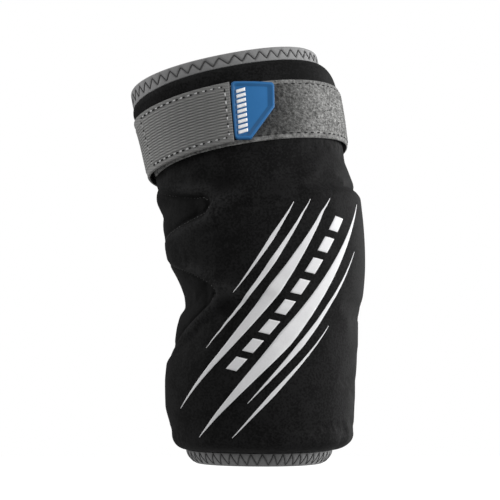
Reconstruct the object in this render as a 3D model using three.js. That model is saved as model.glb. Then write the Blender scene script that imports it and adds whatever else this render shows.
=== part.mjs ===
// Padded sleeve for a lacrosse player's arm, in the form it has on a slightly bent elbow.
// Millimetres and degrees. The origin is the centre of the elbow inside the sleeve, +Z runs up
// the forearm towards it, -Y is the side with the tab, and +X is the side of the elbow's point.
import * as THREE from 'three';

// The arm that the sleeve is shaped on
const forearmLength = 112;
const upperLength = 125;
const elbowBend = 12.8;
const leanTowards = 27;
const bendSpan = 120;

// One share of a cover radius, sideways and front to back, and the power of its superellipse
const halfWidth = 66;
const halfDepth = 60;
const squareness = 2.15;

// Free space between pieces that are sewn or pressed together
const seam = 0.4;

// The lining sleeve: its cloth, and the turned hems that show past both rims of the cover
const liningWall = 2.5;
const hemProud = 2;
const lowerHem = 8;
const upperHem = 11;
const hemRound = 1.4;

// The strap and the two strips of fastener tape, all of webbing width. The loop tape drops by
// patchFall between two turns at the front.
const strapWidth = 38;
const strapDrop = 10.3;
const strapThickness = 1.8;
const strapAnchorTurn = -205;
const strapFlare = 1.6;
const patchDrop = 10.9;
const patchFall = 2.6;
const patchFallTurns = { start: -40, end: 60 };
const patchThickness = 1.6;
const patchTurns = { start: -75, end: 140 };
const hookThickness = 1.2;
const hookMargin = 1;
const hookTurns = { start: -62, end: -9 };
const strapLift = { restTurn: -102, raisedTurn: -64, bowTurns: 38 };

// The moulded tab on the strap's end, in its own frame: p to the right, q down, mm. frontRadius
// turns its lengths into turns on the pad's broad front, and tabRims are the widths of its rim.
const tabWidth = 28.5;
const tabHeight = 37;
const tabRightEdge = 16;
const tabFoot = { left: 2, right: 12 };
const frontRadius = 84;
const tabCorner = 2.6;
const tabTightest = 0.4;
const tabCentreShare = { p: 0.45, q: 0.42 };
const tabThickness = 3.3;
const tabRims = { top: 4, right: 5, slant: 4.4, foot: 3.2, left: 2.2 };
const tabRecess = 0.8;
const tabBevel = 0.8;
const tabTilt = 10;
const tabTurn = 0.8;
const tabDrop = 10.4;

// The raised grip ribs on the tab's field
const ribCount = 9;
const ribStrip = { left: 2.7, width: 5.6, top: 4.4, bottom: 3.4 };
const ribSlant = 1.6;
const ribSpine = 0.4;
const ribHeight = 0.9;
const ribFill = 0.55;

// How finely the round forms are faceted
const fineTurns = { start: -110, end: -15, step: 5 };
const coarseStep = 9.45;
const coverRows = 38;
const sleeveRows = 14;
const rimSteps = 3;
const bandStep = 7.5;
const bandRows = 4;

// Outer form of the cover. share runs from the lower rim to the upper one. left and right are
// shares of halfWidth, front and back of halfDepth.
const coverSections = [
  { share: 0.000, left: 0.930, right: 0.870, front: 0.93, back: 0.88 },
  { share: 0.060, left: 0.945, right: 0.875, front: 0.96, back: 0.90 },
  { share: 0.120, left: 0.985, right: 0.880, front: 0.99, back: 0.92 },
  { share: 0.180, left: 0.990, right: 0.890, front: 1.00, back: 0.93 },
  { share: 0.230, left: 0.970, right: 0.905, front: 1.00, back: 0.93 },
  { share: 0.260, left: 0.925, right: 0.910, front: 1.00, back: 0.92 },
  { share: 0.285, left: 0.900, right: 0.920, front: 1.00, back: 0.92 },
  { share: 0.330, left: 0.885, right: 0.920, front: 1.00, back: 0.91 },
  { share: 0.370, left: 0.840, right: 0.945, front: 1.01, back: 0.90 },
  { share: 0.400, left: 0.785, right: 0.985, front: 1.02, back: 0.90 },
  { share: 0.430, left: 0.790, right: 1.010, front: 1.03, back: 0.90 },
  { share: 0.460, left: 0.810, right: 1.030, front: 1.04, back: 0.91 },
  { share: 0.500, left: 0.850, right: 1.050, front: 1.05, back: 0.93 },
  { share: 0.550, left: 0.905, right: 1.070, front: 1.05, back: 0.95 },
  { share: 0.600, left: 0.910, right: 1.085, front: 1.05, back: 0.95 },
  { share: 0.630, left: 0.900, right: 1.090, front: 1.04, back: 0.95 },
  { share: 0.664, left: 0.890, right: 1.035, front: 1.04, back: 0.95 },
  { share: 0.700, left: 0.885, right: 1.030, front: 1.03, back: 0.95 },
  { share: 0.740, left: 0.920, right: 1.020, front: 1.02, back: 0.96 },
  { share: 0.785, left: 0.880, right: 1.025, front: 1.01, back: 0.97 },
  { share: 0.860, left: 0.895, right: 1.060, front: 1.02, back: 0.99 },
  { share: 0.930, left: 0.920, right: 1.085, front: 1.03, back: 1.00 },
  { share: 1.000, left: 0.995, right: 1.100, front: 1.03, back: 1.00 },
];

// Outer line of the lining sleeve at its hems, in the same shares. Between the rims the sleeve
// runs inside the cover, set in by the height that its hems stand proud.
const sleeveSections = [
  { share: 0.00, left: 0.782, right: 0.686, front: 0.72, back: 0.72 },
  { share: 0.06, left: 0.800, right: 0.720, front: 0.79, back: 0.76 },
  { share: 0.12, left: 0.840, right: 0.760, front: 0.84, back: 0.80 },
  { share: 0.25, left: 0.830, right: 0.800, front: 0.86, back: 0.82 },
  { share: 0.41, left: 0.700, right: 0.860, front: 0.88, back: 0.80 },
  { share: 0.60, left: 0.820, right: 0.920, front: 0.90, back: 0.84 },
  { share: 0.80, left: 0.820, right: 0.900, front: 0.90, back: 0.88 },
  { share: 1.00, left: 0.970, right: 0.970, front: 0.955, back: 0.955 },
];

// Heights of the cover's rounded rims, mm
const lowerRim = { left: 10, right: 10, front: 9, back: 9 };
const upperRim = { left: 2.5, right: 11, front: 3.5, back: 4.5 };

// The two stitched darts at the crook, each a sunk gusset that opens from its tip to its mouth.
// upper and lower are the edges' shares at the mouth, depth and edge are mm. dartLip is the part of
// the slope that lies outside the stitched edge, and dartOpening how soon the tip reaches full depth.
const darts = [
  { tipTurn: -25, tipShare: 0.654, mouthTurn: -100, upper: 0.810, lower: 0.610, depth: 3.6, edge: 9 },
  { tipTurn: -34, tipShare: 0.418, mouthTurn: -100, upper: 0.563, lower: 0.218, depth: 3.8, edge: 12 },
];
const dartSpread = 0.8;
const dartLip = 0.3;
const dartOpening = 6;

const coverLength = forearmLength + upperLength;
const tunnelEnd = Math.max(lowerHem, upperHem) + 1;
const radians = THREE.MathUtils.degToRad;
const { clamp, lerp } = THREE.MathUtils;

function smooth(value) {
  const t = clamp(value, 0, 1);
  return t * t * (3 - 2 * t);
}

// Monotone cubic through one column of a table of sections
function along(table, column, share) {
  const last = table.length - 1;
  const at = clamp(share, table[0].share, table[last].share);
  const slopes = [];
  for (let i = 0; i < last; i += 1) {
    const rise = table[i + 1][column] - table[i][column];
    slopes.push(rise / (table[i + 1].share - table[i].share));
  }
  function tangent(i) {
    if (i === 0 || i === last) {
      return slopes[Math.min(i, last - 1)];
    }
    if (slopes[i - 1] * slopes[i] <= 0) {
      return 0;
    }
    const before = table[i].share - table[i - 1].share;
    const after = table[i + 1].share - table[i].share;
    const near = 2 * after + before;
    const far = after + 2 * before;
    return (near + far) / (near / slopes[i - 1] + far / slopes[i]);
  }
  let cell = 0;
  while (cell < last - 1 && at > table[cell + 1].share) {
    cell += 1;
  }
  const step = table[cell + 1].share - table[cell].share;
  const t = (at - table[cell].share) / step;
  const leave = (t ** 3 - 2 * t ** 2 + t) * step * tangent(cell);
  const arrive = (t ** 3 - t ** 2) * step * tangent(cell + 1);
  const rise = t * t * (3 - 2 * t);
  return lerp(table[cell][column], table[cell + 1][column], rise) + leave + arrive;
}

// Angle of the arm's axis from upright, at a length s from the cover's lower rim
function leanAt(s) {
  return radians(elbowBend) * smooth((s - forearmLength + bendSpan / 2) / bendSpan);
}

const leanAxis = new THREE.Vector3(-Math.sin(radians(leanTowards)), -Math.cos(radians(leanTowards)), 0);

function armDirection(s) {
  return new THREE.Vector3(0, 0, 1).applyAxisAngle(leanAxis, leanAt(s));
}

// Points of the arm's axis at every millimetre, from the elbow's centre both ways
function makeAxis() {
  const reach = Math.ceil(Math.max(forearmLength, upperLength) + tunnelEnd);
  const points = new Map([[0, new THREE.Vector3()]]);
  for (const way of [1, -1]) {
    for (let i = 1; i <= reach; i += 1) {
      const middle = forearmLength + way * (i - 0.5);
      points.set(way * i, points.get(way * (i - 1)).clone().addScaledVector(armDirection(middle), way));
    }
  }
  return points;
}

const armAxis = makeAxis();

function axisPoint(s) {
  const offset = s - forearmLength;
  const below = Math.floor(offset);
  return armAxis.get(below).clone().lerp(armAxis.get(below + 1) ?? armAxis.get(below), offset - below);
}

// A point of the section that stands across the arm at s
function place(s, x, y) {
  return new THREE.Vector3(x, y, 0).applyAxisAngle(leanAxis, leanAt(s)).add(axisPoint(s));
}

// The four radii of a table at s, each let out by the same amount
function radiiAt(table, s, out) {
  const share = s / coverLength;
  return {
    left: along(table, 'left', share) * halfWidth + out,
    right: along(table, 'right', share) * halfWidth + out,
    front: along(table, 'front', share) * halfDepth + out,
    back: along(table, 'back', share) * halfDepth + out,
  };
}

function mixRadii(first, second, share) {
  return {
    left: lerp(first.left, second.left, share),
    right: lerp(first.right, second.right, share),
    front: lerp(first.front, second.front, share),
    back: lerp(first.back, second.back, share),
  };
}

// Turn 0 faces the front, +90 the right and -90 the left
function sectionPoint(s, turn, radii) {
  const across = Math.sin(radians(turn));
  const ahead = Math.cos(radians(turn));
  const power = 2 / squareness;
  const sideways = across > 0 ? radii.right : radii.left;
  const depth = ahead > 0 ? radii.front : radii.back;
  const x = sideways * Math.sign(across) * Math.abs(across) ** power;
  const y = -depth * Math.sign(ahead) * Math.abs(ahead) ** power;
  return place(s, x, y);
}

// A size given for the four sides, blended round the arm
function roundAbout(turn, sides) {
  const across = Math.sin(radians(turn));
  const ahead = Math.cos(radians(turn));
  const sideways = across > 0 ? sides.right : sides.left;
  const depth = ahead > 0 ? sides.front : sides.back;
  return sideways * across ** 2 + depth * ahead ** 2;
}

// How far the darts sink the cover's face
function dartDepth(turn, s) {
  let sunk = 0;
  for (const dart of darts) {
    const open = clamp((dart.tipTurn - turn) / (dart.tipTurn - dart.mouthTurn), 0, 1);
    const spread = open ** dartSpread;
    const upper = lerp(dart.tipShare, dart.upper, spread);
    const lower = lerp(dart.tipShare, dart.lower, spread);
    const share = s / coverLength;
    const inside = Math.min(upper - share, share - lower) * coverLength;
    sunk += dart.depth * smooth(inside / dart.edge + dartLip) * (1 - open)
      * smooth(open * dartOpening);
  }
  return sunk;
}

function coverPoint(turn, s, out) {
  return sectionPoint(s, turn, radiiAt(coverSections, s, out - dartDepth(turn, s)));
}

function sleevePoint(turn, s, out) {
  return sectionPoint(s, turn, radiiAt(sleeveSections, clamp(s, 0, coverLength), out));
}

function turnsAround() {
  const turns = [];
  for (let turn = fineTurns.start; turn < fineTurns.end; turn += fineTurns.step) {
    turns.push(turn);
  }
  const coarseTurns = Math.round((360 - fineTurns.end + fineTurns.start) / coarseStep);
  for (let i = 0; i < coarseTurns; i += 1) {
    turns.push(lerp(fineTurns.end, fineTurns.start + 360, i / coarseTurns));
  }
  return turns;
}

const turns = turnsAround();

function stations(from, to, count) {
  return Array.from({ length: count + 1 }, (unused, i) => lerp(from, to, i / count));
}

// A body from rows of points with the triangles between them, faces turned outwards
function bodyFrom(points, faces) {
  let volume = 0;
  const cross = new THREE.Vector3();
  for (const [a, b, c] of faces) {
    volume += cross.crossVectors(points[a], points[b]).dot(points[c]);
  }
  const outward = volume > 0 ? faces : faces.map(([a, b, c]) => [a, c, b]);
  const geometry = new THREE.BufferGeometry().setFromPoints(points);
  geometry.setIndex(outward.flat());
  geometry.computeVertexNormals();
  return geometry;
}

function quad(a, b, c, d) {
  return [[a, b, c], [a, c, d]];
}

// Rings of points joined one to the next, and the last to the first
function ringBody(rings) {
  const around = rings[0].length;
  const faces = [];
  rings.forEach((ring, i) => {
    const next = (i + 1) % rings.length;
    for (let j = 0; j < around; j += 1) {
      const side = (j + 1) % around;
      faces.push(...quad(i * around + j, i * around + side, next * around + side, next * around + j));
    }
  });
  return bodyFrom(rings.flat(), faces);
}

// A sheet with an outer and an inner grid of points, walled all round its edge
function sheetBody(outer, inner) {
  const across = outer[0].length;
  const loop = 2 * across;
  const points = outer.flatMap((row, i) => [...row, ...inner[i].slice().reverse()]);
  const faces = [];
  for (let i = 0; i < outer.length - 1; i += 1) {
    for (let j = 0; j < loop; j += 1) {
      const side = (j + 1) % loop;
      faces.push(...quad(i * loop + j, (i + 1) * loop + j, (i + 1) * loop + side, i * loop + side));
    }
  }
  const end = (outer.length - 1) * loop;
  for (let j = 0; j < across - 1; j += 1) {
    const under = loop - 1 - j;
    faces.push(...quad(j, j + 1, under - 1, under));
    faces.push(...quad(end + under, end + under - 1, end + j + 1, end + j));
  }
  return bodyFrom(points, faces);
}

// Loops of points stacked from one centre point to another
function stackBody(firstCentre, loops, lastCentre) {
  const around = loops[0].length;
  const points = [firstCentre, ...loops.flat(), lastCentre];
  const faces = [];
  const last = points.length - 1;
  const lastLoop = 1 + (loops.length - 1) * around;
  for (let j = 0; j < around; j += 1) {
    const side = (j + 1) % around;
    faces.push([0, 1 + side, 1 + j]);
    faces.push([last, lastLoop + j, lastLoop + side]);
    for (let i = 0; i < loops.length - 1; i += 1) {
      const low = 1 + i * around;
      const high = low + around;
      faces.push(...quad(low + j, low + side, high + side, high + j));
    }
  }
  return bodyFrom(points, faces);
}

// The black padded cover, thick over the elbow's point and thin at the crook
function makePaddedShell() {
  const rim = (turn, step, end) => {
    const swing = radians(90 * step / rimSteps);
    const height = roundAbout(turn, end === 'lower' ? lowerRim : upperRim);
    const rise = height * (1 - Math.cos(swing));
    const s = end === 'lower' ? rise : coverLength - rise;
    const shoulder = end === 'lower' ? height : coverLength - height;
    const hem = radiiAt(sleeveSections, s, 0);
    const face = radiiAt(coverSections, shoulder, 0);
    return sectionPoint(s, turn, mixRadii(hem, face, Math.sin(swing)));
  };
  const wall = (turn, share) => {
    const low = roundAbout(turn, lowerRim);
    const high = coverLength - roundAbout(turn, upperRim);
    return coverPoint(turn, lerp(low, high, share), 0);
  };
  const rings = [];
  for (let step = 0; step < rimSteps; step += 1) {
    rings.push(turns.map((turn) => rim(turn, step, 'lower')));
  }
  for (const share of stations(0, 1, coverRows)) {
    rings.push(turns.map((turn) => wall(turn, share)));
  }
  for (let step = rimSteps - 1; step >= 0; step -= 1) {
    rings.push(turns.map((turn) => rim(turn, step, 'upper')));
  }
  for (const s of stations(coverLength, 0, sleeveRows)) {
    rings.push(turns.map((turn) => sleevePoint(turn, s, seam - hemProud)));
  }
  return ringBody(rings);
}

// The grey lining, a sleeve the whole way through with a turned hem past each rim of the cover
function makeLiningSleeve() {
  const hemBack = -hemProud - liningWall;
  const top = coverLength + upperHem;
  const profile = [
    { s: -lowerHem, out: hemBack + hemRound },
    { s: -lowerHem, out: -hemRound },
    { s: -lowerHem + hemRound, out: 0 },
    { s: -seam, out: 0 },
    { s: -seam, out: -hemProud },
    ...stations(0, coverLength, sleeveRows).map((s) => ({ s, out: -hemProud })),
    { s: coverLength + seam, out: -hemProud },
    { s: coverLength + seam, out: 0 },
    { s: top - hemRound, out: 0 },
    { s: top, out: -hemRound },
    { s: top, out: hemBack + hemRound },
    { s: top - hemRound, out: hemBack },
    ...stations(coverLength, 0, sleeveRows).map((s) => ({ s, out: hemBack })),
    { s: -lowerHem + hemRound, out: hemBack },
  ];
  return ringBody(profile.map(({ s, out }) => turns.map((turn) => sleevePoint(turn, s, out))));
}

// Heights of the layers above the cover's face
const patchUnder = seam;
const patchTop = patchUnder + patchThickness;
const hookUnder = patchTop + seam;
const strapRaised = hookUnder + hookThickness + seam;
const tabUnder = patchTop + seam;
const tabTop = tabUnder + tabThickness;

// A strip of the band that wraps the upper arm, between two turns and two drops from the rim
function bandBody(from, to, dropAt, width, underAt, thickness) {
  const steps = Math.max(2, Math.round(Math.abs(to(0) - from) / bandStep));
  const grid = (extra) => stations(0, 1, steps).map((share) => stations(0, 1, bandRows).map((down) => {
    const turn = lerp(from, to(down), share);
    const s = coverLength - dropAt(turn) - width * down;
    return coverPoint(turn, s, underAt(turn, down) + extra);
  }));
  return sheetBody(grid(thickness), grid(0));
}

// Degrees of turn that a length along the band takes at the front
function turnFor(length) {
  return THREE.MathUtils.radToDeg(length / frontRadius);
}

// The tab's own frame laid on the band
function tabPoint(p, q, out) {
  const tilt = radians(tabTilt);
  const round = p * Math.cos(tilt) - q * Math.sin(tilt);
  const drop = p * Math.sin(tilt) + q * Math.cos(tilt);
  return coverPoint(tabTurn + turnFor(round), coverLength - tabDrop - drop, out);
}

// The strap's end follows the tab's slanted left edge
function strapEndTurn(down) {
  const q = strapDrop + strapWidth * down - tabDrop;
  const edge = lerp(0, tabFoot.left, q / tabHeight) - q * Math.sin(radians(tabTilt));
  return tabTurn + turnFor(edge - 2 * seam);
}

function strapUnder(turn, down) {
  const raised = smooth((turn - strapLift.restTurn) / (strapLift.raisedTurn - strapLift.restTurn));
  const middle = (strapLift.restTurn + strapLift.raisedTurn) / 2;
  const bow = smooth(1 - Math.abs(turn - middle) / strapLift.bowTurns);
  return lerp(seam, strapRaised, raised) + strapFlare * bow * down;
}

function makeElasticStrap() {
  return bandBody(strapAnchorTurn, strapEndTurn, () => strapDrop, strapWidth, strapUnder,
    strapThickness);
}

function patchDropAt(turn) {
  const share = (turn - patchFallTurns.start) / (patchFallTurns.end - patchFallTurns.start);
  return patchDrop + patchFall * smooth(share);
}

function makeLoopPatch() {
  return bandBody(patchTurns.start, () => patchTurns.end, patchDropAt, strapWidth, () => patchUnder,
    patchThickness);
}

function makeHookPatch() {
  const width = strapWidth - 2 * hookMargin;
  return bandBody(hookTurns.start, () => hookTurns.end, () => strapDrop + hookMargin, width,
    () => hookUnder, hookThickness);
}

// Outline of the tab set in by a margin on each edge, with its corners rounded
function tabOutline(margins) {
  const corners = [
    new THREE.Vector2(0, 0),
    new THREE.Vector2(tabWidth, 0),
    new THREE.Vector2(tabWidth, tabRightEdge),
    new THREE.Vector2(tabFoot.right, tabHeight),
    new THREE.Vector2(tabFoot.left, tabHeight),
  ];
  const edge = (i) => {
    const start = corners[i % corners.length];
    return corners[(i + 1) % corners.length].clone().sub(start).normalize();
  };
  const marginBefore = (i) => margins[(i + corners.length - 1) % corners.length];
  const inner = corners.map((corner, i) => {
    const before = edge(i + corners.length - 1);
    const after = edge(i);
    const turned = before.cross(after);
    const along = corner.clone().addScaledVector(after, marginBefore(i) / turned);
    return along.addScaledVector(before, -margins[i] / turned);
  });
  const outline = [];
  inner.forEach((corner, i) => {
    const before = edge(i + inner.length - 1);
    const after = edge(i);
    const bend = Math.acos(clamp(before.dot(after), -1, 1));
    const inset = Math.min(marginBefore(i), margins[i]);
    const reach = Math.max(tabTightest, tabCorner - inset / 2) * Math.tan(bend / 2);
    const start = corner.clone().addScaledVector(before, -reach);
    const end = corner.clone().addScaledVector(after, reach);
    const round = new THREE.QuadraticBezierCurve(start, corner, end);
    outline.push(...round.getPoints(2));
    const next = inner[(i + 1) % inner.length];
    outline.push(end.clone().lerp(next, 1 / 3), end.clone().lerp(next, 2 / 3));
  });
  return outline;
}

const tabCentre = new THREE.Vector2(tabWidth * tabCentreShare.p, tabHeight * tabCentreShare.q);

function makePullTab() {
  const loop = (margins, shrink, out) => tabOutline(margins).map((point) => {
    const spot = tabCentre.clone().lerp(point, shrink);
    return tabPoint(spot.x, spot.y, out);
  });
  const field = tabTop - tabRecess;
  const rims = [tabRims.top, tabRims.right, tabRims.slant, tabRims.foot, tabRims.left];
  const even = (margin) => rims.map(() => margin);
  const loops = [
    loop(even(0), 0.5, tabUnder),
    loop(even(0), 1, tabUnder),
    loop(even(0), 1, tabTop - tabBevel),
    loop(even(tabBevel), 1, tabTop),
    loop(rims.map((rim) => rim - tabRecess), 1, tabTop),
    loop(rims, 1, field),
    loop(rims, 0.5, field),
  ];
  const first = tabPoint(tabCentre.x, tabCentre.y, tabUnder);
  const last = tabPoint(tabCentre.x, tabCentre.y, field);
  return stackBody(first, loops, last);
}

// A strip of slanted ribs on a thin spine, lying on the tab's recessed field
function makeTabRibs() {
  const field = tabTop - tabRecess + seam;
  const length = tabHeight - ribStrip.top - ribStrip.bottom;
  const pitch = length / ribCount;
  const wall = pitch * (1 - ribFill) / 4;
  const steps = [{ q: 0, high: ribSpine }];
  for (let i = 0; i < ribCount; i += 1) {
    const start = pitch * (i + (1 - ribFill) / 2);
    const end = start + pitch * ribFill;
    steps.push({ q: start - wall, high: ribSpine }, { q: start, high: ribHeight });
    steps.push({ q: end, high: ribHeight }, { q: end + wall, high: ribSpine });
  }
  steps.push({ q: length, high: ribSpine });
  const row = (step, out) => [0, 0.5, 1].map((side) => {
    const slope = ribSlant * (side - 0.5) * smooth(step.q / pitch) * smooth((length - step.q) / pitch);
    const left = ribStrip.left + lerp(0, tabFoot.left, step.q / tabHeight);
    return tabPoint(left + ribStrip.width * side, ribStrip.top + step.q - slope, out);
  });
  return sheetBody(steps.map((step) => row(step, field + step.high)), steps.map((step) => row(step, field)));
}

function finish(color, roughness, metalness) {
  return new THREE.MeshStandardMaterial({ color, roughness, metalness });
}

function piece(name, geometry, material) {
  const mesh = new THREE.Mesh(geometry, material);
  mesh.name = name;
  return mesh;
}

const armPad = new THREE.Group();
armPad.add(
  piece('padded_shell', makePaddedShell(), finish(0x1b1b1c, 0.85, 0)),
  piece('lining_sleeve', makeLiningSleeve(), finish(0x77777a, 0.9, 0)),
  piece('loop_patch', makeLoopPatch(), finish(0x6e6e6c, 1, 0)),
  piece('hook_patch', makeHookPatch(), finish(0x161616, 0.9, 0)),
  piece('elastic_strap', makeElasticStrap(), finish(0x7c7c7a, 0.85, 0)),
  piece('pull_tab', makePullTab(), finish(0x2f6aa6, 0.45, 0)),
  piece('tab_ribs', makeTabRibs(), finish(0xf2f2f2, 0.5, 0)),
);

export default armPad;
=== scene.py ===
"""Looks of the lacrosse arm pad: cover, lining, strap, tapes, tab, stitches, print, light and camera.

Sizes in the classes are millimetres and degrees, and every mesh is written in metres in the
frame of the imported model. s is a length along the arm from the cover's lower rim, and a turn goes
round the arm: 0 faces the front, +90 the right and -90 the left.
"""

import logging
import math
from dataclasses import dataclass, field
from enum import Enum

import bmesh
import bpy
import numpy as np
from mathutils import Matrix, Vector


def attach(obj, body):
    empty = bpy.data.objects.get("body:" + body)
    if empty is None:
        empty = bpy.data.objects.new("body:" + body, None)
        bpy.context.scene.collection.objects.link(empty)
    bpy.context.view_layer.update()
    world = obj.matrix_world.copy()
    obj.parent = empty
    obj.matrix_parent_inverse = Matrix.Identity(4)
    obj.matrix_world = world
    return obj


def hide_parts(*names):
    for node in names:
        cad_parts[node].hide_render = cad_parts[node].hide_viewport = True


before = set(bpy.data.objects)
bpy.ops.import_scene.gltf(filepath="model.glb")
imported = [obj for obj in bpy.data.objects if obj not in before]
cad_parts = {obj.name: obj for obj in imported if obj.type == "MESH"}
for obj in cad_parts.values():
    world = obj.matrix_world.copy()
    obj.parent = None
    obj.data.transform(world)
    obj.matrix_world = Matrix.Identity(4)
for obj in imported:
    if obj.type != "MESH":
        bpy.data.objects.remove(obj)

LOG = logging.getLogger("arm_pad")
MM = 0.001
BODY = "root"


class Slot(Enum):
    """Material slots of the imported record."""

    COVER = "cover_black"
    LINING = "lining_grey"
    LOOP = "loop_grey"
    HOOK = "hook_black"
    WEBBING = "webbing_grey"
    TAB = "tab_blue"
    RIB = "rib_white"
    PRINT = "print_silver"
    THREAD = "thread_dark"


def smooth(value: np.ndarray | float) -> np.ndarray:
    """Eased step from 0 to 1."""
    t = np.clip(value, 0.0, 1.0)
    return t * t * (3.0 - 2.0 * t)


def mix(low: np.ndarray | float, high: np.ndarray | float, share: np.ndarray | float) -> np.ndarray:
    """Straight blend of two values."""
    return low + (high - low) * share


def hump(distance: np.ndarray, width: float) -> np.ndarray:
    """Bell curve of height 1 that fades over the given width."""
    return np.exp(-((distance / width) ** 2))


class SectionTable:
    """Radii of a sleeve along the arm, as shares of its half width and half depth."""

    COLUMNS = ("share", "left", "right", "front", "back")

    def __init__(self, rows: list[tuple[float, ...]]) -> None:
        """Keeps the rows by column.

        Args:
            rows: one tuple for each section, in the order of COLUMNS.
        """
        self.values = dict(zip(self.COLUMNS, np.array(rows).T))

    def at(self, column: str, share: np.ndarray) -> np.ndarray:
        """Monotone cubic through one column.

        Args:
            column: the column's name.
            share: places along the arm, 0 at the lower rim and 1 at the upper one.

        Returns:
            The column's value at each place.
        """
        xs = self.values["share"]
        ys = self.values[column]
        widths = np.diff(xs)
        slopes = np.diff(ys) / widths
        tangents = np.zeros(len(xs))
        for i in range(1, len(xs) - 1):
            if slopes[i - 1] * slopes[i] > 0:
                near = 2 * widths[i] + widths[i - 1]
                far = widths[i] + 2 * widths[i - 1]
                tangents[i] = (near + far) / (near / slopes[i - 1] + far / slopes[i])
        tangents[0] = slopes[0]
        tangents[-1] = slopes[-1]
        at = np.clip(share, xs[0], xs[-1])
        cell = np.clip(np.searchsorted(xs, at) - 1, 0, len(xs) - 2)
        step = widths[cell]
        t = (at - xs[cell]) / step
        leave = (t**3 - 2 * t**2 + t) * step * tangents[cell]
        arrive = (t**3 - t**2) * step * tangents[cell + 1]
        return mix(ys[cell], ys[cell + 1], t * t * (3 - 2 * t)) + leave + arrive


@dataclass
class ArmForm:
    """The bent arm that the sleeve is shaped on."""

    forearm: float = 112.0
    upper: float = 125.0
    bend: float = 12.8
    towards: float = 27.0
    bend_span: float = 120.0
    half_width: float = 66.0
    half_depth: float = 60.0
    squareness: float = 2.15
    reach: float = 14.0
    _stations: np.ndarray = field(init=False, repr=False)
    _axis: np.ndarray = field(init=False, repr=False)

    def __post_init__(self) -> None:
        """Sums the arm's axis once, in short steps."""
        count = 600
        s = np.linspace(-self.reach, self.length + self.reach, count)
        heading = self.direction(s)
        steps = (heading[1:] + heading[:-1]) / 2 * (s[1] - s[0])
        axis = np.vstack([np.zeros(3), np.cumsum(steps, axis=0)])
        elbow = np.array([np.interp(self.forearm, s, axis[:, i]) for i in range(3)])
        self._stations = s
        self._axis = axis - elbow

    @property
    def length(self) -> float:
        """Length of the cover from rim to rim."""
        return self.forearm + self.upper

    def lean(self, s: np.ndarray) -> np.ndarray:
        """Angle of the axis from upright, in radians."""
        return math.radians(self.bend) * smooth((s - self.forearm + self.bend_span / 2) / self.bend_span)

    def direction(self, s: np.ndarray) -> np.ndarray:
        """Unit vector along the arm at s."""
        lean = self.lean(s)
        turn = math.radians(self.towards)
        return np.stack(
            [-np.sin(lean) * math.cos(turn), np.sin(lean) * math.sin(turn), np.cos(lean)], axis=-1
        )

    def place(self, s: np.ndarray, x: np.ndarray, y: np.ndarray) -> np.ndarray:
        """Puts points of a section across the arm into the frame.

        Args:
            s: length along the arm.
            x: sideways place in the section.
            y: front to back place in the section.

        Returns:
            Points in millimetres.
        """
        lean = self.lean(s)
        turn = math.radians(self.towards)
        kx, ky = -math.sin(turn), -math.cos(turn)
        along = kx * x + ky * y
        c, sn = np.cos(lean), np.sin(lean)
        centre = np.stack([np.interp(s, self._stations, self._axis[:, i]) for i in range(3)], axis=-1)
        turned = np.stack(
            [x * c + kx * along * (1 - c), y * c + ky * along * (1 - c), (kx * y - ky * x) * sn], axis=-1
        )
        return centre + turned


@dataclass(frozen=True)
class Dart:
    """A stitched dart at the crook, a sunk gusset, widest at its mouth and pointed at both tips."""

    tip_turn: float
    tip_share: float
    mouth_turn: float
    upper: float
    lower: float
    depth: float
    edge: float
    spread_upper: float = 0.8
    spread_lower: float = 0.8
    blunt_upper: float = 0.008
    blunt_lower: float = 0.016
    blunt_reach: float = 0.05
    lip: float = 0.5
    opening: float = 6.0

    def edge_share(self, opened: np.ndarray, upper: bool) -> np.ndarray:
        """Place of an edge along the arm.

        Args:
            opened: 0 at the tip and 1 at the mouth.
            upper: the upper edge, or else the lower one.

        Returns:
            Shares of the cover's length.
        """
        mouth = self.upper if upper else self.lower
        edge = mix(self.tip_share, mouth, opened ** (self.spread_upper if upper else self.spread_lower))
        ease = np.sqrt(np.clip(opened / self.blunt_reach, 0, 1)) * (1 - opened)
        return edge + (self.blunt_upper if upper else -self.blunt_lower) * ease

    def opened(self, turn: np.ndarray) -> np.ndarray:
        """How far a turn lies from the nearer tip towards the mouth, the same before and behind it."""
        folded = self.mouth_turn + np.abs(turn - self.mouth_turn)
        return np.clip((self.tip_turn - folded) / (self.tip_turn - self.mouth_turn), 0, 1)

    def seam(self, count: int = 70) -> tuple[np.ndarray, np.ndarray]:
        """The stitched edge as turns and shares, from the mouth round each tip and back to it."""
        closing = np.linspace(1, 0, count) ** 1.6
        opened = np.concatenate([closing, closing[::-1][1:]])
        front = self.tip_turn - opened * (self.tip_turn - self.mouth_turn)
        upper, lower = self.edge_share(closing, True), self.edge_share(closing[::-1][1:], False)
        shares = np.concatenate([upper, lower])
        back = 2 * self.mouth_turn - front
        return np.concatenate([front, back[::-1]]), np.concatenate([shares, shares[::-1]])


@dataclass(frozen=True)
class Crease:
    """A soft fold between two places of the cover, raised or sunk."""

    start_turn: float
    start_share: float
    end_turn: float
    end_share: float
    height: float
    width: float


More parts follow.
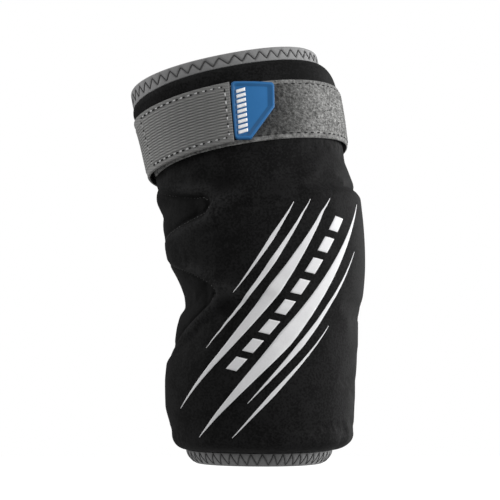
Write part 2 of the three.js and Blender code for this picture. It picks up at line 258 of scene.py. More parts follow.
@dataclass
class PadForm:
    """The whole pad's surfaces: the cover's face with its relief, and the lining sleeve."""

    arm: ArmForm = field(default_factory=ArmForm)
    turn_length: float = 1.1
    seam_gap: float = 0.4
    hem_proud: float = 2.0
    lining_wall: float = 2.5
    lower_hem: float = 8.0
    upper_hem: float = 11.0
    lower_taper: float = 6.0
    inner_taper: float = 0.5
    lower_sag: float = 0.9
    groove_depth: float = 1.9
    groove_width: float = 1.9
    pocket_reach: float = 0.45
    fade_start: float = 0.2
    fade_end: float = 0.88
    fade_left: float = 0.15
    shoulder_height: float = 1.5
    shoulder_width: float = 4.5
    shoulder_away: float = 5.0
    puff: np.ndarray | None = None

    cover = SectionTable(
        [
            (0.000, 0.908, 0.860, 0.93, 0.88),
            (0.060, 0.928, 0.868, 0.96, 0.90),
            (0.120, 0.985, 0.880, 0.99, 0.92),
            (0.180, 0.990, 0.890, 1.00, 0.93),
            (0.230, 0.970, 0.905, 1.00, 0.93),
            (0.260, 0.925, 0.910, 1.00, 0.92),
            (0.285, 0.900, 0.920, 1.00, 0.92),
            (0.330, 0.885, 0.920, 1.00, 0.91),
            (0.370, 0.848, 0.945, 1.01, 0.90),
            (0.400, 0.797, 0.985, 1.02, 0.90),
            (0.430, 0.790, 1.010, 1.03, 0.90),
            (0.460, 0.810, 1.030, 1.04, 0.91),
            (0.500, 0.850, 1.050, 1.05, 0.93),
            (0.550, 0.905, 1.070, 1.05, 0.95),
            (0.600, 0.916, 1.085, 1.05, 0.95),
            (0.630, 0.910, 1.090, 1.04, 0.95),
            (0.664, 0.904, 1.035, 1.04, 0.95),
            (0.700, 0.885, 1.030, 1.03, 0.95),
            (0.740, 0.920, 1.020, 1.02, 0.96),
            (0.785, 0.880, 1.025, 1.01, 0.97),
            (0.860, 0.895, 1.060, 1.02, 0.99),
            (0.930, 0.920, 1.085, 1.03, 1.00),
            (1.000, 0.995, 1.100, 1.03, 1.00),
        ]
    )
    sleeve = SectionTable(
        [
            (0.00, 0.780, 0.664, 0.720, 0.720),
            (0.06, 0.800, 0.720, 0.790, 0.760),
            (0.12, 0.840, 0.760, 0.840, 0.800),
            (0.25, 0.830, 0.800, 0.860, 0.820),
            (0.41, 0.700, 0.860, 0.880, 0.800),
            (0.60, 0.820, 0.920, 0.900, 0.840),
            (0.80, 0.820, 0.900, 0.900, 0.880),
            (1.00, 0.970, 0.970, 0.955, 0.955),
        ]
    )
    darts = (
        Dart(
            tip_turn=-25,
            tip_share=0.654,
            mouth_turn=-100,
            upper=0.810,
            lower=0.610,
            depth=3.4,
            edge=6,
            spread_upper=1.35,
            blunt_upper=0.020,
        ),
        Dart(
            tip_turn=-34,
            tip_share=0.418,
            mouth_turn=-100,
            upper=0.563,
            lower=0.230,
            depth=3.8,
            edge=7,
            blunt_lower=-0.004,
        ),
    )
    creases = (
        Crease(-33, 0.436, -6, 0.398, height=1.3, width=3.6),
        Crease(-31, 0.385, -10, 0.355, height=-0.8, width=5.0),
        Crease(-28, 0.632, -4, 0.664, height=1.3, width=3.6),
        Crease(-23, 0.690, 0, 0.700, height=-0.6, width=5.0),
    )
    lower_rim = {"left": 10.0, "right": 10.0, "front": 9.0, "back": 9.0}
    upper_rim = {"left": 2.5, "right": 11.0, "front": 3.0, "back": 4.5}
    rim_lift = {"left": 0.8, "right": 3.6, "front": 2.2, "back": 1.5}
    hem_lift = {"left": 1.2, "right": -1.0, "front": -1.8, "back": 0.0}

    def section(
        self, table: SectionTable, turn: np.ndarray, s: np.ndarray, out: np.ndarray | float
    ) -> tuple[np.ndarray, np.ndarray]:
        """Sideways and front-to-back places on a section's superellipse.

        Args:
            table: the cover's or the sleeve's sections.
            turn: turns round the arm.
            s: lengths along the arm.
            out: how far the radii are let out.

        Returns:
            The x and y of each point in its section.
        """
        share = s / self.arm.length
        across = np.sin(np.radians(turn))
        ahead = np.cos(np.radians(turn))
        side = np.where(across > 0, table.at("right", share), table.at("left", share))
        deep = np.where(ahead > 0, table.at("front", share), table.at("back", share))
        power = 2 / self.arm.squareness
        x = (side * self.arm.half_width + out) * np.sign(across) * np.abs(across) ** power
        y = -(deep * self.arm.half_depth + out) * np.sign(ahead) * np.abs(ahead) ** power
        return x, y

    def blend_sides(self, turn: np.ndarray, sides: dict[str, float]) -> np.ndarray:
        """A size given for the four sides, blended round the arm."""
        across = np.sin(np.radians(turn))
        ahead = np.cos(np.radians(turn))
        side = np.where(across > 0, sides["right"], sides["left"])
        deep = np.where(ahead > 0, sides["front"], sides["back"])
        return side * across**2 + deep * ahead**2

    def flat_distance(
        self, turn: np.ndarray, s: np.ndarray, line_turn: np.ndarray, line_s: np.ndarray
    ) -> np.ndarray:
        """Distance from places of the cover to a line drawn on it, measured on the flat cloth."""
        x = turn * self.turn_length
        best = np.full(np.broadcast(turn, s).shape, 1e9)
        for place_turn, place_s in zip(line_turn, line_s):
            best = np.minimum(best, (x - place_turn * self.turn_length) ** 2 + (s - place_s) ** 2)
        return np.sqrt(best)

    def dart_marks(self, turn: np.ndarray, s: np.ndarray) -> tuple[np.ndarray, ...]:
        """Where the darts sink, groove and raise the cover.

        Args:
            turn: turns round the arm.
            s: lengths along the arm.

        Returns:
            The sunk depth in mm, and from 0 to 1 the groove, the shoulder and the pocket at the tip, which
            only gets painted shade.
        """
        share = s / self.arm.length
        shape = np.broadcast(turn, s).shape
        sunk_all, groove_all, shoulder_all, pocket_all = (np.zeros(shape) for _ in range(4))
        for dart in self.darts:
            opened = dart.opened(turn)
            upper = dart.edge_share(opened, True)
            lower = dart.edge_share(opened, False)
            inside = np.minimum(upper - share, share - lower) * self.arm.length
            sunk = smooth(inside / dart.edge + dart.lip) * (1 - opened) * smooth(opened * dart.opening)
            line_turn, line_share = dart.seam()
            away = self.flat_distance(turn, s, line_turn, line_share * self.arm.length)
            fading = smooth((opened - self.fade_start) / (self.fade_end - self.fade_start))
            fade = mix(1.0, self.fade_left, fading)
            sunk_all += dart.depth * sunk
            groove_all += hump(away, self.groove_width) * fade
            shoulder = hump(away - self.shoulder_away, self.shoulder_width) * fade
            shoulder_all += np.where(inside < 0, shoulder, 0)
            pocket_all += smooth((inside + 1) / 3) * (1 - smooth(opened / self.pocket_reach)) * (opened > 0)
        return sunk_all, groove_all, shoulder_all, pocket_all

    def dart_relief(self, turn: np.ndarray, s: np.ndarray) -> np.ndarray:
        """Height that the darts add to the cover's face, in mm."""
        sunk, groove, shoulder, _ = self.dart_marks(turn, s)
        return -sunk - groove * self.groove_depth + shoulder * self.shoulder_height

    def shade(self, turn: np.ndarray, s: np.ndarray) -> np.ndarray:
        """Tone of the brushed face, 0.42 where plain: painted shade in seam grooves, gussets, sunk creases
        and tip pockets, and painted highlights on shoulders and raised creases.
        """
        sunk, groove, shoulder, pocket = self.dart_marks(turn, s)
        ridges = np.clip(self.crease_relief(turn, s), -1, 1)
        # Painted highlights on shoulders and raised creases; painted shade in grooves, gussets, sunk creases
        # and pockets.
        tone = 0.42 + 0.5 * shoulder + 0.6 * ridges - 0.06 * sunk - 0.7 * groove - 0.36 * pocket
        return np.clip(tone, 0, 1)

    def crease_relief(self, turn: np.ndarray, s: np.ndarray) -> np.ndarray:
        """Soft folds that run on from the darts."""
        relief = np.zeros(np.broadcast(turn, s).shape)
        for crease in self.creases:
            t = np.linspace(0, 1, 24)
            line_turn = mix(crease.start_turn, crease.end_turn, t)
            line_s = mix(crease.start_share, crease.end_share, t) * self.arm.length
            away = self.flat_distance(turn, s, line_turn, line_s)
            along = (turn - crease.start_turn) / (crease.end_turn - crease.start_turn)
            fade = smooth(along * 3 + 0.4) * smooth((1 - along) * 1.4 + 0.2)
            relief += hump(away, crease.width) * crease.height * fade
        return relief

    def puff_at(self, turn: np.ndarray, s: np.ndarray) -> np.ndarray:
        """Height that the simulated cloth adds, read between its grid's points."""
        if self.puff is None:
            return np.zeros(np.broadcast(turn, s).shape)
        rows, columns = self.puff.shape
        row = np.clip(s / self.arm.length, 0, 1) * (rows - 1)
        column = ((turn + 180) % 360) / 360 * columns
        low_row = np.minimum(np.floor(row).astype(int), rows - 2)
        low_column = np.floor(column).astype(int) % columns
        next_column = (low_column + 1) % columns
        up = row - low_row
        over = column - np.floor(column)
        low = mix(self.puff[low_row, low_column], self.puff[low_row, next_column], over)
        high = mix(self.puff[low_row + 1, low_column], self.puff[low_row + 1, next_column], over)
        return mix(low, high, up)

    def relief(self, turn: np.ndarray, s: np.ndarray) -> np.ndarray:
        """All relief of the cover's face, in millimetres outwards."""
        return self.dart_relief(turn, s) + self.crease_relief(turn, s) + self.puff_at(turn, s)

    def face(self, turn: np.ndarray, s: np.ndarray, out: np.ndarray | float = 0.0) -> np.ndarray:
        """Points on the cover's face, let out by a height.

        Args:
            turn: turns round the arm.
            s: lengths along the arm.
            out: height over the face.

        Returns:
            Points in millimetres.
        """
        turn, s = np.broadcast_arrays(np.asarray(turn, float), np.asarray(s, float))
        x, y = self.section(self.cover, turn, s, self.relief(turn, s) + out)
        return self.arm.place(s, x, y)

    def smooth_face(self, turn: np.ndarray, s: np.ndarray, out: np.ndarray | float = 0.0) -> np.ndarray:
        """Points over the cover's plain form, without its relief, for what is stretched across it."""
        turn, s = np.broadcast_arrays(np.asarray(turn, float), np.asarray(s, float))
        x, y = self.section(self.cover, turn, s, out)
        return self.arm.place(s, x, y)

    def hem_line(self, turn: np.ndarray, s: np.ndarray, out: np.ndarray | float) -> np.ndarray:
        """Points on the lining sleeve's outer line, with its hems past both rims.

        Args:
            turn: turns round the arm.
            s: lengths along the arm, below 0 on the lower hem.
            out: height over the line, negative inwards.

        Returns:
            Points in millimetres.
        """
        turn, s = np.broadcast_arrays(np.asarray(turn, float), np.asarray(s, float))
        deep = np.clip(-np.asarray(out) / (self.hem_proud + self.lining_wall), 0, 1)
        below = np.clip(-s / self.lower_hem, 0, 1)
        tucked = out - self.lower_taper * below**2 * mix(1.0, self.inner_taper, deep)
        past = np.maximum(s - self.arm.length, 0)
        rim = np.where(s >= self.arm.length, self.blend_sides(turn, self.rim_lift), 0)
        lifted = s + rim + past * self.blend_sides(turn, self.hem_lift) / self.upper_hem
        lifted = lifted - self.lower_sag * below
        x, y = self.section(self.sleeve, turn, np.clip(s, 0, self.arm.length), tucked)
        return self.arm.place(lifted, x, y)


def grid_mesh(
    name: str,
    points: np.ndarray,
    wrap_rows: bool = False,
    wrap_columns: bool = False,
    lengths: tuple[np.ndarray, np.ndarray] | None = None,
) -> bpy.types.Mesh:
    """Makes a mesh from a grid of points.

    Args:
        name: the mesh's name.
        points: array of rows, columns and x, y, z in millimetres.
        wrap_rows: the last row joins the first.
        wrap_columns: the last column joins the first.
        lengths: the grid's lengths along rows and columns in millimetres, one more than the faces
            where it wraps, kept as its UV map.

    Returns:
        The mesh in metres.
    """
    rows, columns = points.shape[:2]
    row_count = rows if wrap_rows else rows - 1
    column_count = columns if wrap_columns else columns - 1
    i, j = np.meshgrid(np.arange(row_count), np.arange(column_count), indexing="ij")
    i, j = i.ravel(), j.ravel()
    over, up = (j + 1) % columns, (i + 1) % rows
    faces = np.stack([i * columns + j, i * columns + over, up * columns + over, up * columns + j], axis=1)
    mesh = bpy.data.meshes.new(name)
    mesh.vertices.add(rows * columns)
    mesh.vertices.foreach_set("co", (points.reshape(-1, 3) * MM).astype(np.float32).ravel())
    mesh.loops.add(faces.size)
    mesh.loops.foreach_set("vertex_index", faces.ravel().astype(np.int32))
    mesh.polygons.add(len(faces))
    mesh.polygons.foreach_set("loop_start", (np.arange(len(faces)) * 4).astype(np.int32))
    mesh.update(calc_edges=True)
    if lengths is not None:
        along, across = lengths
        u = np.stack([across[j], across[j + 1], across[j + 1], across[j]], axis=1)
        v = np.stack([along[i], along[i], along[i + 1], along[i + 1]], axis=1)
        layer = mesh.uv_layers.new(name="lengths")
        layer.data.foreach_set("uv", np.stack([u, v], axis=-1).astype(np.float32).ravel())
    mesh.polygons.foreach_set("use_smooth", np.ones(len(faces), dtype=bool))
    mesh.validate()
    return mesh


def sheet_points(outer: np.ndarray, inner: np.ndarray) -> np.ndarray:
    """Rings round a sheet's section, from its outer and inner grids, for a mesh that wraps columns."""
    return np.concatenate([outer, inner[:, ::-1]], axis=1)


def turn_outwards(mesh: bpy.types.Mesh) -> None:
    """Points every face of a closed mesh outwards."""
    work = bmesh.new()
    work.from_mesh(mesh)
    bmesh.ops.recalc_face_normals(work, faces=work.faces)
    if work.calc_volume(signed=True) < 0:
        bmesh.ops.reverse_faces(work, faces=work.faces)
    work.to_mesh(mesh)
    work.free()


def add_piece(
    name: str, mesh: bpy.types.Mesh, material: bpy.types.Material, slot: Slot, *nodes: str
) -> bpy.types.Object:
    """Links a finished piece into the scene and ties it to the frame.

    Args:
        name: the piece's name.
        mesh: its mesh, in place.
        material: its finish.
        slot: the record's material slot; not used.
        *nodes: CAD nodes that it stands for.

    Returns:
        The object.
    """
    piece = bpy.data.objects.new(name, mesh)
    bpy.context.scene.collection.objects.link(piece)
    mesh.materials.clear()
    mesh.materials.append(material)
    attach(piece, BODY)
    if nodes:
        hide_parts(*nodes)
    LOG.info("%s: %d faces", name, len(mesh.polygons))
    return piece


class Nodes:
    """Short calls for building a node tree."""

    def __init__(self, tree: bpy.types.NodeTree) -> None:
        """Wraps a tree."""
        self.tree = tree

    def add(self, kind: str, **values: object) -> bpy.types.Node:
        """Adds a node and sets its properties or, for names that match an input, its sockets."""
        node = self.tree.nodes.new(kind)
        for name, value in values.items():
            if hasattr(node, name):
                setattr(node, name, value)
            else:
                node.inputs[name.replace("_", " ")].default_value = value
        return node

    def link(self, start: bpy.types.NodeSocket, end: bpy.types.NodeSocket) -> None:
        """Joins two sockets."""
        self.tree.links.new(start, end)

    def math(self, operation: str, first: object, second: object = 0.0) -> bpy.types.NodeSocket:
        """Adds a Math node on two sockets or numbers and returns its output."""
        node = self.tree.nodes.new("ShaderNodeMath")
        node.operation = operation
        for socket, value in zip(node.inputs, (first, second)):
            if isinstance(value, bpy.types.NodeSocket):
                self.link(value, socket)
            else:
                socket.default_value = float(value)
        return node.outputs[0]


def group_tree(
    name: str, kind: str, inputs: list[tuple[str, str, object]], outputs: list[tuple[str, str]]
) -> tuple[bpy.types.NodeTree, Nodes, bpy.types.Node, bpy.types.Node]:
    """Makes an empty node group with named sockets.

    Args:
        name: the group's name.
        kind: ShaderNodeTree or GeometryNodeTree.
        inputs: name, socket type and default of each input.
        outputs: name and socket type of each output.

    Returns:
        The tree, its helper, and its input and output nodes.
    """
    tree = bpy.data.node_groups.new(name, kind)
    for label, socket_type, default in inputs:
        socket = tree.interface.new_socket(name=label, in_out="INPUT", socket_type=socket_type)
        if default is not None:
            socket.default_value = default
    for label, socket_type in outputs:
        tree.interface.new_socket(name=label, in_out="OUTPUT", socket_type=socket_type)
    nodes = Nodes(tree)
    return tree, nodes, tree.nodes.new("NodeGroupInput"), tree.nodes.new("NodeGroupOutput")


FLOAT = "NodeSocketFloat"
COLOR = "NodeSocketColor"
VECTOR = "NodeSocketVector"
GEOMETRY = "NodeSocketGeometry"


class SharedEffects:
    """Shader groups that several finishes use."""

    def __init__(self) -> None:
        """Builds each group once."""
        self.grain = self.make_grain()
        self.weave = self.make_weave()

    def make_grain(self) -> bpy.types.NodeTree:
        """Speckled brushed cloth: two sizes of noise on object coordinates."""
        tree, nodes, given, out = group_tree(
            "cloth_grain",
            "ShaderNodeTree",
            [("Speck", FLOAT, 900.0), ("Cloud", FLOAT, 60.0), ("Contrast", FLOAT, 0.5)],
            [("Tone", FLOAT), ("Height", FLOAT)],
        )
        place = nodes.add("ShaderNodeTexCoord")
        speck = nodes.add("ShaderNodeTexNoise", Detail=2.0, Roughness=0.6)
        cloud = nodes.add("ShaderNodeTexNoise", Detail=3.0, Roughness=0.5)
        for noise, scale in ((speck, "Speck"), (cloud, "Cloud")):
            nodes.link(place.outputs["Object"], noise.inputs["Vector"])
            nodes.link(given.outputs[scale], noise.inputs["Scale"])
        fine = nodes.math("SUBTRACT", speck.outputs["Fac"], 0.5)
        broad = nodes.math("SUBTRACT", cloud.outputs["Fac"], 0.5)
        both = nodes.math("ADD", fine, nodes.math("MULTIPLY", broad, 0.6))
        tone = nodes.math("ADD", nodes.math("MULTIPLY", both, given.outputs["Contrast"]), 0.5)
        nodes.link(tone, out.inputs["Tone"])
        nodes.link(speck.outputs["Fac"], out.inputs["Height"])
        return tree

    def make_weave(self) -> bpy.types.NodeTree:
        """Crossed yarns on a UV map in millimetres."""
        tree, nodes, given, out = group_tree(
            "yarn_weave",
            "ShaderNodeTree",
            [("Across Pitch", FLOAT, 1.0), ("Along Pitch", FLOAT, 1.0), ("Slant", FLOAT, 0.0)],
            [("Tone", FLOAT), ("Height", FLOAT)],
        )
        uv = nodes.add("ShaderNodeUVMap", uv_map="lengths")
        split = nodes.add("ShaderNodeSeparateXYZ")
        nodes.link(uv.outputs["UV"], split.inputs[0])
        slanted = nodes.math("MULTIPLY", split.outputs["Y"], given.outputs["Slant"])
        across = nodes.math("ADD", split.outputs["X"], slanted)
        turns = []
        for value, pitch in ((across, "Across Pitch"), (split.outputs["Y"], "Along Pitch")):
            phase = nodes.math("DIVIDE", value, given.outputs[pitch])
            turns.append(nodes.math("SINE", nodes.math("MULTIPLY", phase, math.tau)))
        height = nodes.math("MULTIPLY", turns[0], turns[1])
        both = nodes.math("ADD", nodes.math("MULTIPLY", height, 0.5), 0.5)
        nodes.link(both, out.inputs["Height"])
        nodes.link(both, out.inputs["Tone"])
        return tree


def shaded(nodes: Nodes, color: bpy.types.NodeSocket, share: float) -> bpy.types.NodeSocket:
    """Darkens a colour where the mesh's shade attribute is low; the attribute holds painted shade and
    highlights, and on the loop tape also its selvages' plain tone.

    Args:
        nodes: the material's nodes.
        color: the colour before it.
        share: how much of the colour the attribute governs.

    Returns:
        The darkened colour.
    """
    read = nodes.add("ShaderNodeAttribute", attribute_name="shade")
    kept = nodes.math("MULTIPLY_ADD", read.outputs["Fac"], share)
    kept.node.inputs[2].default_value = 1 - share
    darker = nodes.add("ShaderNodeMix", data_type="RGBA", blend_type="MULTIPLY")
    darker.inputs["Factor"].default_value = 1.0
    nodes.link(color, darker.inputs["A"])
    nodes.link(kept, darker.inputs["B"])
    return darker.outputs["Result"]


@dataclass(frozen=True)
class ClothFinish:
    """A matte cloth: its two tones, grain, weave and sheen."""

    name: str
    dark: tuple[float, float, float]
    light: tuple[float, float, float]
    roughness: float = 0.85
    sheen: float = 0.2
    sheen_roughness: float = 0.4
    speck: float = 900.0
    cloud: float = 60.0
    contrast: float = 0.8
    across_pitch: float = 0.0
    along_pitch: float = 1.0
    slant: float = 0.0
    weave_share: float = 0.0
    bump: float = 0.2
    bump_height: float = 0.0002
    specular: float = 0.3
    shade_share: float = 0.0

    def make(self, shared: SharedEffects) -> bpy.types.Material:
        """Builds the material.

        Args:
            shared: the shader groups that finishes share.

        Returns:
            The material.
        """
        material = bpy.data.materials.new(self.name)
        material.use_nodes = True
        nodes = Nodes(material.node_tree)
        shader = material.node_tree.nodes["Principled BSDF"]
        shader.inputs["Roughness"].default_value = self.roughness
        shader.inputs["Specular IOR Level"].default_value = self.specular
        shader.inputs["Sheen Weight"].default_value = self.sheen
        shader.inputs["Sheen Roughness"].default_value = self.sheen_roughness
        grain = nodes.add("ShaderNodeGroup", node_tree=shared.grain)
        grain.inputs["Speck"].default_value = self.speck
        grain.inputs["Cloud"].default_value = self.cloud
        grain.inputs["Contrast"].default_value = self.contrast
        tone = grain.outputs["Tone"]
        height = grain.outputs["Height"]
        if self.across_pitch > 0:
            weave = nodes.add("ShaderNodeGroup", node_tree=shared.weave)
            weave.inputs["Across Pitch"].default_value = self.across_pitch
            weave.inputs["Along Pitch"].default_value = self.along_pitch
            weave.inputs["Slant"].default_value = self.slant
            tone = self.blend(nodes, tone, weave.outputs["Tone"])
            height = self.blend(nodes, height, weave.outputs["Height"])
        ramp = nodes.add("ShaderNodeMix", data_type="RGBA")
        ramp.inputs["A"].default_value = (*self.dark, 1)
        ramp.inputs["B"].default_value = (*self.light, 1)
        nodes.link(tone, ramp.inputs["Factor"])
        color = ramp.outputs["Result"]
        if self.shade_share > 0:
            color = shaded(nodes, color, self.shade_share)
        nodes.link(color, shader.inputs["Base Color"])
        bump = nodes.add("ShaderNodeBump", Strength=self.bump, Distance=self.bump_height)
        nodes.link(height, bump.inputs["Height"])
        nodes.link(bump.outputs["Normal"], shader.inputs["Normal"])
        return material

    def blend(
        self, nodes: Nodes, first: bpy.types.NodeSocket, second: bpy.types.NodeSocket
    ) -> bpy.types.NodeSocket:
        """Mixes grain and weave by the finish's share of weave."""
        part = nodes.math("MULTIPLY", second, self.weave_share)
        return nodes.math("ADD", nodes.math("MULTIPLY", first, 1 - self.weave_share), part)


@dataclass(frozen=True)
class MouldedFinish:
    """A smooth moulded plastic or rubber with faint mottling."""

    name: str
    dark: tuple[float, float, float]
    light: tuple[float, float, float]
    roughness: float = 0.4
    specular: float = 0.3
    shade_share: float = 0.0

    def make(self, shared: SharedEffects) -> bpy.types.Material:
        """Builds the material.

        Args:
            shared: the shader groups that finishes share.

        Returns:
            The material.
        """
        material = bpy.data.materials.new(self.name)
        material.use_nodes = True
        nodes = Nodes(material.node_tree)
        shader = material.node_tree.nodes["Principled BSDF"]
        shader.inputs["Specular IOR Level"].default_value = self.specular
        grain = nodes.add("ShaderNodeGroup", node_tree=shared.grain)
        grain.inputs["Speck"].default_value = 2600.0
        grain.inputs["Cloud"].default_value = 140.0
        grain.inputs["Contrast"].default_value = 0.7
        ramp = nodes.add("ShaderNodeMix", data_type="RGBA")
        ramp.inputs["A"].default_value = (*self.dark, 1)
        ramp.inputs["B"].default_value = (*self.light, 1)
        nodes.link(grain.outputs["Tone"], ramp.inputs["Factor"])
        color = ramp.outputs["Result"]
        if self.shade_share > 0:
            color = shaded(nodes, color, self.shade_share)
        nodes.link(color, shader.inputs["Base Color"])
        rough = nodes.math("MULTIPLY_ADD", grain.outputs["Tone"], 0.1)
        rough.node.inputs[2].default_value = self.roughness - 0.05
        nodes.link(rough, shader.inputs["Roughness"])
        bump = nodes.add("ShaderNodeBump", Strength=0.12, Distance=0.0001)
        nodes.link(grain.outputs["Height"], bump.inputs["Height"])
        nodes.link(bump.outputs["Normal"], shader.inputs["Normal"])
        return material


class Finishes:
    """All materials of the pad."""

    def __init__(self) -> None:
        """Makes every material once."""
        shared = SharedEffects()
        self.cover = ClothFinish(
            "cover_knit",
            (0.0048, 0.0048, 0.0049),
            (0.0175, 0.0175, 0.0179),
            roughness=0.8,
            shade_share=0.85,
            sheen=0.012,
            sheen_roughness=0.3,
            specular=0.1,
            speck=720.0,
            contrast=4.6,
            bump=0.6,
        ).make(shared)
        self.lining = ClothFinish(
            "lining_knit",
            (0.15, 0.15, 0.151),
            (0.29, 0.29, 0.291),
            across_pitch=0.9,
            along_pitch=1.1,
            weave_share=0.35,
            sheen=0.05,
            shade_share=0.72,
        ).make(shared)
        self.webbing = ClothFinish(
            "webbing_yarn",
            (0.125, 0.125, 0.122),
            (0.37, 0.37, 0.362),
            across_pitch=1.8,
            along_pitch=1.7,
            slant=0.8,
            weave_share=0.62,
            sheen=0.05,
            shade_share=0.8,
        ).make(shared)
        self.loop = ClothFinish(
            "loop_pile",
            (0.06, 0.06, 0.058),
            (0.395, 0.395, 0.386),
            speck=600.0,
            cloud=230.0,
            contrast=1.9,
            shade_share=0.72,
            sheen=0.1,
            bump=0.6,
            bump_height=0.0006,
        ).make(shared)
        self.hook = ClothFinish("hook_tape", (0.01, 0.01, 0.01), (0.03, 0.03, 0.03), sheen=0.0).make(shared)
        self.dark_thread = ClothFinish(
            "dark_thread", (0.006, 0.006, 0.006), (0.024, 0.024, 0.024), speck=3000.0, sheen=0.0
        ).make(shared)
        self.hem_thread = ClothFinish(
            "hem_thread", (0.026, 0.026, 0.026), (0.07, 0.07, 0.07), speck=3000.0, sheen=0.0
        ).make(shared)
        self.seam_thread = ClothFinish(
            "seam_thread", (0.06, 0.06, 0.06), (0.17, 0.17, 0.17), speck=3000.0, sheen=0.0
        ).make(shared)
        self.light_thread = ClothFinish(
            "light_thread", (0.32, 0.32, 0.32), (0.6, 0.6, 0.6), speck=3000.0, sheen=0.1
        ).make(shared)
        self.print = ClothFinish(
            "silver_print", (0.60, 0.60, 0.61), (0.78, 0.78, 0.79), contrast=0.5, sheen=0.0, bump=0.12
        ).make(shared)
        self.tab = MouldedFinish(
            "tab_rubber", (0.018, 0.125, 0.32), (0.027, 0.160, 0.40), roughness=0.48, shade_share=1.0
        ).make(shared)
        self.rib = MouldedFinish("rib_rubber", (0.80, 0.80, 0.80), (0.92, 0.92, 0.92), 0.5).make(shared)


